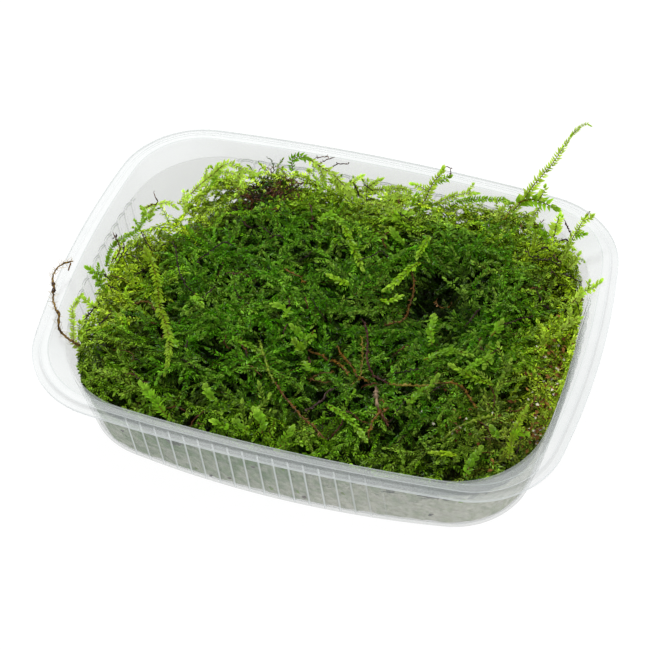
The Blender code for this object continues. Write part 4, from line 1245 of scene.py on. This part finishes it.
def make_mat(look):
    """The matted mass under the shoots, down to the floor of the tub."""
    steps = MAT_STEPS
    angles = 2 * math.pi * np.arange(steps) / steps
    circle = np.stack([np.cos(angles), np.sin(angles)], 1)
    side_room = np.maximum(WALL_LIMIT - MOSS_LIMIT - MAT_TIGHT, 0)
    top, wall, foot = [
        np.interp(angles, POLAR_ANGLES, limit, period=2 * math.pi)[:, None]
        for limit in (MOSS_LIMIT - MAT_ROOM, WALL_LIMIT - side_room, FOOT_LIMIT - side_room)]
    rows = []
    for share in np.linspace(0.02, 1.0, MAT_RINGS) ** MAT_RING_POWER:
        spot = circle * top * share
        height = heap_height(spot[:, 0], spot[:, 1]) - MAT_DEPTH
        at_back = smoothstep(0.0, 0.030, spot[:, 1])
        height = height + mix(-MAT_EDGE_DROP, MAT_BACK_RISE, at_back) * smoothstep(0.9, 1.0, share)
        rows.append(np.column_stack([spot, height]))
    for height in MAT_SIDE_HEIGHTS:
        rounding = FOOT_ROUNDING * (1 - min((height - SKIN) / FOOT_ROUNDING, 1.0) ** 0.5) ** 2
        limit = mix(foot, wall, height / WALL_TOP) - MAT_SIDE_GAP - rounding
        rows.append(at_height(circle * limit, height))
    rows += [at_height(circle * (foot - MAT_FOOT_GAP) * share, MAT_UNDERSIDE)
             for share in MAT_RINGS_BELOW]
    points = np.concatenate(rows)
    noise.seed_set(MAT_SEED)
    rough = np.array([noise.noise_vector(Vector(point) / MAT_GRAIN) for point in points])
    side = (np.arange(len(rows)).repeat(steps) >= MAT_RINGS)[:, None]
    points = points + rough * np.where(side, MAT_SIDE_ROUGHNESS, MAT_ROUGHNESS)
    points = np.where(side, keep_inside(points, MAT_SIDE_ROOM), keep_inside(points, LEAF_ROOM))
    ring = np.arange(1, steps - 1)
    first = np.zeros(steps - 2, int)
    caps = np.concatenate([np.stack([first, ring, ring + 1], 1),
                           np.stack([first, ring + 1, ring], 1) + (len(rows) - 1) * steps])
    faces = np.concatenate([ring_faces(len(rows), steps)[:, ::-1], caps])
    # near black on top: the dark colour of old matted stems, and painted shade under the shoots
    tints = mix_tint(BLACKISH, DEEP, 0.5 + 0.5 * rough[:, 0])
    fine = np.array([noise.noise(Vector(point) / MAT_FINE_GRAIN) for point in points])
    side_tone = smoothstep(-0.45, 0.45, 0.6 * rough[:, 1] + 0.8 * fine)
    side_tints = mix_tint(SIDE_GREEN, SIDE_GREY, side_tone)
    # paler at the front, low down and toward the right
    pale = 0.45 * smoothstep(0.020, 0.004, points[:, 2]) + smoothstep(-0.010, 0.040, points[:, 0])
    pale = pale * smoothstep(0.0, -0.030, points[:, 1]) * smoothstep(0.030, 0.018, points[:, 2])
    side_tints = mix_tint(side_tints, SIDE_PALE, np.clip(pale, 0, 1) * mix(0.6, 1.0, side_tone))
    tints = np.where(side, side_tints, tints)
    made = mesh_object("moss_mat", points, faces, tints)
    return finish_piece(made, look, "moss_mass", "moss_clump")


# Shoots and stems seen in the photograph


TINTS = {
    "young": YOUNG, "bright": BRIGHT, "fresh": FRESH,
    "brown": BROWN, "dark": BLACKISH, "orange": ORANGE,
    "straw": STRAW, "purple": PURPLE, "green_straw": (0.23, 0.34, 0.02),
    "leafy": (0.27, 0.42, 0.014),
    "purple_brown": (0.075, 0.022, 0.015), "orange_brown": (0.17, 0.080, 0.014),
    "whitish": (0.30, 0.21, 0.12),
}
MILLIMETRE = 0.001
LARGEST_LIFT = 15              # a level over this is a height, under it a lift over the moss
CAMERA_SIDE = -np.array(CAMERA_FORWARD)


def pixel_place(pixel_x, pixel_y, level):
    if level < LARGEST_LIFT:
        return on_heap(pixel_x, pixel_y, level * MILLIMETRE)
    return at_level(pixel_x, pixel_y, level * MILLIMETRE)


def pixel_way(points, level=None, step=STEM_STEP):
    """A smooth way through photo pixels, at their own levels or at one lift over the moss."""
    if level is not None:
        points = [(x, y, level) for x, y in points]
    return smooth_way([pixel_place(*point) for point in points], step)


def add_seen_shoot(tangle, rng, tint_name, size, way, facing, broad=CLEAR_BROAD, dorsal=0.3,
                   splay=CLEAR_SPLAY):
    """A shoot seen in the photograph, whose leaves go from one size to another."""
    tint = np.array(TINTS[tint_name]) * rng.uniform(0.8, 1.15)
    stem = mix_tint(STRAW, BROWN, 0.4)
    tip = tint * 1.1 if tint_name == "young" else mix_tint(tint, YOUNG, 0.3)
    sizes = np.linspace(size[0], size[-1], len(way))
    dress(tangle, rng, keep_inside(way, SEEN_SHOOT_ROOM), facing, tint, tip, stem, sizes, dorsal,
          taper_base=0.8, broad=broad, splay=splay)
    return tint, tip, stem


def make_clear_shoots(rng, look):
    """The shoots that stand clear of the moss, each in place of its node."""
    for node, shoots in CLEAR_SHOOTS.items():
        tangle = Tangle("sharp")
        for tint_name, size, points in shoots:
            facing = CAMERA_SIDE + rng.normal(0, 0.15, 3)
            way = pixel_way(points, step=CLEAR_STEP * sum(size) / 2)
            add_seen_shoot(tangle, rng, tint_name, size, way, facing)
        slot = "moss_leaf_pale" if node in PALE_NODES else "moss_leaf"
        make_moss_piece(f"{node}_leaves", tangle, look, slot, node)


def make_edge_shoots(rng, look):
    tangle = Tangle("sharp")
    for tint_name, size, points in EDGE_SHOOTS:
        size = size * EDGE_SIZE
        way = pixel_way(points, step=CLEAR_STEP * size)
        facing = CAMERA_SIDE + rng.normal(0, 0.2, 3)
        tint, tip, stem = add_seen_shoot(tangle, rng, tint_name, (size,), way, facing)
        add_side_shoots(tangle, rng, way, facing, tint, tip, stem, size, chance=0.3,
                        lengths=(0.002, 0.005), broad=CLEAR_BROAD)
    make_moss_piece("edge_shoots", tangle, look, "moss_leaf_pale", "moss_clump")


def make_lying_shoots(rng, look):
    tangle = Tangle("round")
    for tint_name, size, lift, points in LYING_SHOOTS:
        facing = np.array((0, 0, 1)) + rng.normal(0, 0.2, 3)
        size = size * LYING_SIZE
        way = pixel_way(points, lift, LEAF_STEP * size)
        add_seen_shoot(tangle, rng, tint_name, (size,), way, facing, LYING_BROAD, dorsal=0.45,
                       splay=LEAF_ANGLE)
    make_moss_piece("bright_shoots", tangle, look, "moss_leaf_pale", "moss_clump")


def add_bare_stem(tangle, rng, way, radius, tint, stubs=0.8):
    """A knotty stem with the stubs of its fallen leaves."""
    count = len(way)
    knots = 1 + 1.1 * rng.random(count) * (np.arange(count) % 3 == 0)
    ends = smoothstep(0, 3, np.arange(count)) * smoothstep(0, 3, np.arange(count)[::-1])
    tints = np.array(tint) * rng.uniform(0.30, 1.20, count)[:, None]
    bent = way + rng.normal(0, 0.00013, (count, 3))
    tangle.add_stem(bent, radius * knots * (0.45 + 0.40 * ends), tints, sides=6)
    forward, side, up = frames(way, (0, 0, 1))
    chosen = rng.random(count) < stubs
    if not chosen.any():
        return
    turn = rng.uniform(0, 2 * math.pi, count)[:, None]
    outward = unit(forward * 0.6 + side * np.cos(turn) + up * np.abs(np.sin(turn)))[chosen]
    total = int(chosen.sum())
    tangle.add_leaves(bent[chosen], outward, np.cross(outward, forward[chosen]) + 0.01,
                      rng.uniform(*STUB_LENGTHS, total) + radius,
                      rng.uniform(*STUB_HALF_WIDTHS, total),
                      tints[chosen] * rng.uniform(0.6, 1.6, total)[:, None])


def clear_the_stems():
    """Keeps the moss off the stems and the tuft that lie on it."""
    for stems in NODE_STEMS.values():
        for tint_name, radius, lift, points in stems:
            clear_over(pixel_way(points, lift), CLEAR_ROOM + radius * MILLIMETRE)
    for tint_name, radius, points in BARE_STEMS:
        clear_over(pixel_way(points), LOOSE_CLEAR_ROOM)
    (left, top), (right, bottom) = TUFT_PLACE
    grid = TUFT_GRID
    tuft = [on_heap(pixel_x, pixel_y, 0.0)
            for pixel_x in range(left + grid, right - grid // 2, grid)
            for pixel_y in range(top + grid, bottom - grid // 2, grid)]
    clear_over(tuft, TUFT_CLEAR_ROOM)


def make_node_stems(rng, look):
    slots = {"yellow_stem": "stem_straw", "green_stalk": "stem_straw",
             "orange_stem": "stem_orange", "orange_stem_branch": "stem_orange",
             "purple_stem": "stem_purple"}
    for node, stems in NODE_STEMS.items():
        tangle = Tangle("plain")
        for tint_name, radius, lift, points in stems:
            way = pixel_way(points, lift)
            add_bare_stem(tangle, rng, way, radius * NODE_STEM_SHARE * MILLIMETRE,
                          TINTS[tint_name])
        make_moss_piece(f"{node}_bark", tangle, look, slots.get(node, "stem_brown"), node)


def make_loose_stems(rng, look):
    tangle = Tangle("plain")
    for tint_name, radius, points in BARE_STEMS:
        way = keep_inside(pixel_way(points), STEM_ROOM)
        add_bare_stem(tangle, rng, way, radius * LOOSE_STEM_SHARE * MILLIMETRE, TINTS[tint_name],
                      stubs=0.35)
    for x, y in random_places(rng, LOOSE_STEMS, inside=0.001):
        edge = float(smoothstep(-0.020, 0.0, beyond_edge(x, y)))
        if rng.random() > 0.35 + 0.65 * edge:
            continue
        way = wander(rng, x, y, lie(rng, x, y), rng.uniform(0.004, 0.013), rng.normal(0, 1.2),
                     -0.001, rng.uniform(0.0, 0.0015), arch=0.0012, wobble=0.16)
        tint = TINTS[("dark", "dark", "purple_brown", "brown", "orange_brown")[rng.integers(5)]]
        add_bare_stem(tangle, rng, way, rng.uniform(*LOOSE_STEM_RADII), tint, stubs=0.25)
    make_moss_piece("bare_stems", tangle, look, "stem_brown", "moss_clump")


def make_tuft(rng, look):
    tangle = Tangle("plain")
    (left, top), (right, bottom) = TUFT_PLACE
    for _ in range(TUFT_STRANDS):
        pixel_x = rng.triangular(left, (left + right) / 2, right)
        pixel_y = rng.uniform(top, bottom)
        x, y, _ = on_heap(pixel_x, pixel_y, 0.0)
        way = wander(rng, x, y, rng.normal(0.1, 0.9), rng.uniform(0.004, 0.011),
                     rng.normal(0, 2.0), rng.uniform(-0.005, -0.001), rng.uniform(-0.003, 0.001),
                     arch=0.001, wobble=0.25)
        tint = mix_tint((BLACKISH, BROWN, DARK)[rng.integers(3)], ORANGE,
                        rng.uniform(0.3, 1) * in_patch(pixel_x, pixel_y, TUFT_ORANGE))
        add_bare_stem(tangle, rng, way, rng.uniform(*STRAND_RADII), tint, stubs=0.4)
    make_moss_piece("rhizoid_tuft", tangle, look, "rhizoid", *TUFT_NODES)


def make_root(rng, look):
    tangle = Tangle("plain")
    way = pixel_way(ROOT_WAY)
    count = len(way)
    share = np.arange(count) / (count - 1)
    knots = 1 + 0.5 * (rng.random(count) < 0.25)
    for knot in ROOT_KNOTS:
        away = np.linalg.norm(way - pixel_place(*knot), axis=1)
        knots = knots + 1.6 * np.exp(-(away / KNOT_SIZE) ** 2)
    tints = mix_tint(GOLD, BLACKISH, rng.random(count) ** 0.7)
    tints = mix_tint(tints, BLACKISH, np.clip(knots - 1.6, 0, 0.9))
    tangle.add_stem(way + rng.normal(0, 0.00012, (count, 3)),
                    ROOT_RADIUS * mix(1.0, 0.5, share) * knots, tints, sides=6)
    tangle.add_stem(pixel_way(ROOT_TWIG), TWIG_RADIUS, TINTS["orange_brown"], sides=5)
    forward, side, up = frames(way, (0, 0, 1))
    for index in range(2, count - 1):
        for _ in range(2):
            turn = rng.uniform(0, 2 * math.pi)
            outward = side[index] * math.cos(turn) + up[index] * math.sin(turn)
            length = rng.uniform(*HAIR_LENGTHS)
            bend = forward[index] * rng.normal(0.3, 0.5)
            steps = np.linspace(0, 1, 4)[:, None]
            hair = way[index] + (outward * steps + bend * steps ** 2) * length
            tangle.add_stem(hair, HAIR_RADII, np.array(HAIR_TINT) * rng.uniform(0.5, 1.2))
    make_moss_piece("root_with_hairs", tangle, look, "rhizoid", "wiry_root")


def behind_wall(pixel_x, pixel_y):
    """The place just inside the wall that the camera sees through it at a pixel."""
    height = WALL_TOP
    spot = at_level(pixel_x, pixel_y, height)
    while height > SKIN and np.hypot(spot[0], spot[1]) > wall_distance(spot[None])[0] - BIT_DEPTH:
        height -= 0.0002
        spot = at_level(pixel_x, pixel_y, height)
    return spot


def make_litter(rng, look):
    """Dead brown bits on the moss at the right, and bits that cling to the front wall."""
    tangle = Tangle("plain")
    for count, middle_x, middle_y, spread_x, spread_y in LITTER_HEAPS:
        for _ in range(count):
            pixel_x = rng.normal(middle_x, spread_x)
            pixel_y = rng.normal(middle_y, spread_y)
            place = on_heap(pixel_x, pixel_y, rng.uniform(-0.001, 0.0015))
            if beyond_edge(place[0], place[1]) > 0.0:
                continue
            heading = rng.uniform(0, 2 * math.pi)
            direction = unit(np.array([math.cos(heading), math.sin(heading), rng.normal(0, 0.4)]))
            up = (0, 0, 1) + rng.normal(0, 0.5, 3)
            kind = rng.random()
            tint = next(tint for share, tint in LITTER_KINDS if kind < share)
            length = rng.uniform(*(CREAM_LENGTHS if tint is CREAM else LITTER_LENGTHS))
            tangle.add_leaf(place, direction, up, length, rng.uniform(*LITTER_HALF_WIDTHS),
                            np.array(tint) * rng.uniform(0.6, 1.2))
    for tint_name, pixel_x, pixel_y, length in WALL_BITS:
        for _ in range(3):
            place = behind_wall(pixel_x + rng.normal(0, 0.5), pixel_y + rng.normal(0, 0.4))
            along = unit(np.array([1.0, 0.1, rng.normal(0, 0.6)]))
            tangle.add_leaf(place, along, CAMERA_SIDE * (1, 1, 0),
                            length * BIT_STRETCH * MILLIMETRE, BIT_HALF_WIDTH, TINTS[tint_name])
    make_moss_piece("litter", tangle, look, "stem_brown", "moss_clump")


# Materials


def new_material(name):
    made = bpy.data.materials.new(name)
    made.use_nodes = True
    return made, made.node_tree


def feed(tree, node, inputs):
    """Gives a node's inputs their values, or links them to the sockets that are given."""
    for name, value in inputs.items():
        if isinstance(value, bpy.types.NodeSocket):
            tree.links.new(value, node.inputs[name])
        else:
            node.inputs[name].default_value = value


def add_node(tree, kind, output, inputs, **settings):
    """The output socket of a new node."""
    node = tree.nodes.new(kind)
    for name, value in settings.items():
        setattr(node, name, value)
    feed(tree, node, inputs)
    return node.outputs[output]


def texture_noise(tree, scale, detail=3.0):
    place = add_node(tree, "ShaderNodeTexCoord", "Object", {})
    return add_node(tree, "ShaderNodeTexNoise", "Fac",
                    {"Vector": place, "Scale": scale, "Detail": detail})


def bump(tree, scale, strength, distance, detail=3.0):
    return add_node(tree, "ShaderNodeBump", "Normal", {
        "Height": texture_noise(tree, scale, detail), "Strength": strength, "Distance": distance})


def plant_material(name, roughness, see_through, gloss, mottling=0.21, strength=0.74):
    """A wet, thin leaf or stem whose colour comes from the mesh."""
    made, tree = new_material(name)
    shader = tree.nodes["Principled BSDF"]
    tint = add_node(tree, "ShaderNodeAttribute", "Color", {}, attribute_name="tint")
    mottle = add_node(tree, "ShaderNodeMapRange", "Result", {
        "Value": texture_noise(tree, scale=700.0),
        "To Min": strength - mottling,
        "To Max": strength + mottling})
    varied = add_node(tree, "ShaderNodeVectorMath", "Vector", {0: tint, "Scale": mottle},
                      operation="SCALE")
    if see_through:
        warm = add_node(tree, "ShaderNodeVectorMath", "Vector", {0: varied, 1: WARM_LIGHT},
                        operation="MULTIPLY")
        glow = add_node(tree, "ShaderNodeBsdfTranslucent", "BSDF", {"Color": warm})
        both = add_node(tree, "ShaderNodeMixShader", "Shader",
                        {"Fac": see_through, 1: shader.outputs["BSDF"], 2: glow})
        feed(tree, tree.nodes["Material Output"], {"Surface": both})
    feed(tree, shader, {
        "Base Color": varied, "Roughness": roughness, "IOR": 1.42, "Specular IOR Level": gloss,
        "Normal": bump(tree, scale=1400.0, strength=0.35, distance=0.0003)})
    return made


def tub_material():
    """Milky polypropylene film: whiter in the valleys, with grey lines where it bends and painted
    highlights along the rim.
    """
    made, tree = new_material("milky_polypropylene")
    cloud = tree.nodes.new("ShaderNodeValToRGB")
    for element, (position, tint) in zip(cloud.color_ramp.elements, FILM_CLOUD):
        element.position = position
        element.color = (*tint, 1.0)
    feed(tree, cloud, {"Fac": texture_noise(tree, scale=90.0, detail=4.0)})
    colour = cloud.outputs["Color"]
    cover = FILM_COVER
    for name, tint, more_cover in (("ridge", RIDGE_TINT, RIDGE_COVER),
                                   ("line", LINE_TINT, LINE_COVER)):
        stored = add_node(tree, "ShaderNodeAttribute", "Fac", {}, attribute_name=name)
        colour = add_node(tree, "ShaderNodeMix", "Result",
                          {"Factor": stored, "A": colour, "B": (*tint, 1.0)}, data_type="RGBA")
        cover = add_node(tree, "ShaderNodeMath", "Value", {0: stored, 1: more_cover, 2: cover},
                         operation="MULTIPLY_ADD")
    feed(tree, tree.nodes["Principled BSDF"], {
        "Base Color": colour, "Alpha": cover, "Roughness": 0.36, "IOR": 1.49,
        "Specular IOR Level": 0.14,
        "Normal": bump(tree, scale=260.0, detail=2.0, strength=0.12, distance=0.0004)})
    return made


# Stage


def make_stage():
    corners = at_height(np.array([(-1, -1), (1, -1), (1, 1), (-1, 1)]) * FLOOR_HALF, FLOOR_LEVEL)
    floor = mesh_object("studio_floor", corners, np.array([(0, 1, 2, 3)]))
    made, tree = new_material("white_floor")
    feed(tree, tree.nodes["Principled BSDF"], {
        "Base Color": (FLOOR_GREY, FLOOR_GREY, FLOOR_GREY, 1.0), "Roughness": 0.9,
        "Emission Color": (1.0, 1.0, 1.0, 1.0), "Emission Strength": FLOOR_GLOW})
    floor.data.materials.append(made)


def add_lamp(name, place, size, watts):
    light = bpy.data.lights.new(name, "AREA")
    light.shape = "DISK"
    light.size = size
    light.energy = watts
    lamp = bpy.data.objects.new(name, light)
    lamp.location = place
    aim = Vector(LAMP_TARGET) - Vector(place)
    lamp.rotation_euler = aim.to_track_quat("-Z", "Y").to_euler()
    bpy.context.scene.collection.objects.link(lamp)


def make_camera_and_light():
    scene = bpy.context.scene
    camera = bpy.data.cameras.new("photo_camera")
    camera.lens = CAMERA_LENS
    camera.sensor_width = SENSOR_WIDTH
    camera.clip_start = 0.01
    holder = bpy.data.objects.new("photo_camera", camera)
    backward = -Vector(CAMERA_FORWARD)
    holder.matrix_world = Matrix([*zip(CAMERA_RIGHT, CAMERA_UP, backward, CAMERA_PLACE),
                                  (0, 0, 0, 1)])
    scene.collection.objects.link(holder)
    scene.camera = holder
    scene.view_settings.view_transform = "Standard"
    world = bpy.data.worlds.new("white_room")
    world.use_nodes = True
    feed(world.node_tree, world.node_tree.nodes["Background"],
         {"Color": (1.0, 1.0, 1.0, 1.0), "Strength": WORLD_LIGHT})
    scene.world = world
    for lamp in LAMPS:
        add_lamp(*lamp)


# The whole part


def make_moss(look):
    rng = np.random.default_rng(7)
    for names, slot, *layer in MOSS_LAYERS:
        for name in names:
            tangle = Tangle("kite", cleared=True)
            add_layer(tangle, rng, *layer)
            make_moss_piece(name, tangle, look, slot, "moss_clump")


def make_all():
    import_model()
    make_camera_and_light()
    make_stage()
    leaf = plant_material("wet_leaf", roughness=0.22, see_through=0.35, gloss=0.12)
    young = plant_material("young_leaf", roughness=0.28, see_through=0.55, gloss=0.15,
                           mottling=0.15, strength=0.92)
    bark = plant_material("wet_bark", roughness=0.35, see_through=0.0, gloss=0.20)
    mat = plant_material("moss_mat", roughness=0.65, see_through=0.0, gloss=0.05, mottling=0.45)
    make_tub(tub_material())
    make_mat(mat)
    clear_the_stems()
    make_moss(leaf)
    rng = np.random.default_rng(21)
    make_clear_shoots(rng, young)
    make_edge_shoots(rng, young)
    make_lying_shoots(rng, leaf)
    make_node_stems(rng, bark)
    make_loose_stems(rng, bark)
    make_tuft(rng, bark)
    make_root(rng, bark)
    make_litter(rng, mat)


make_all()
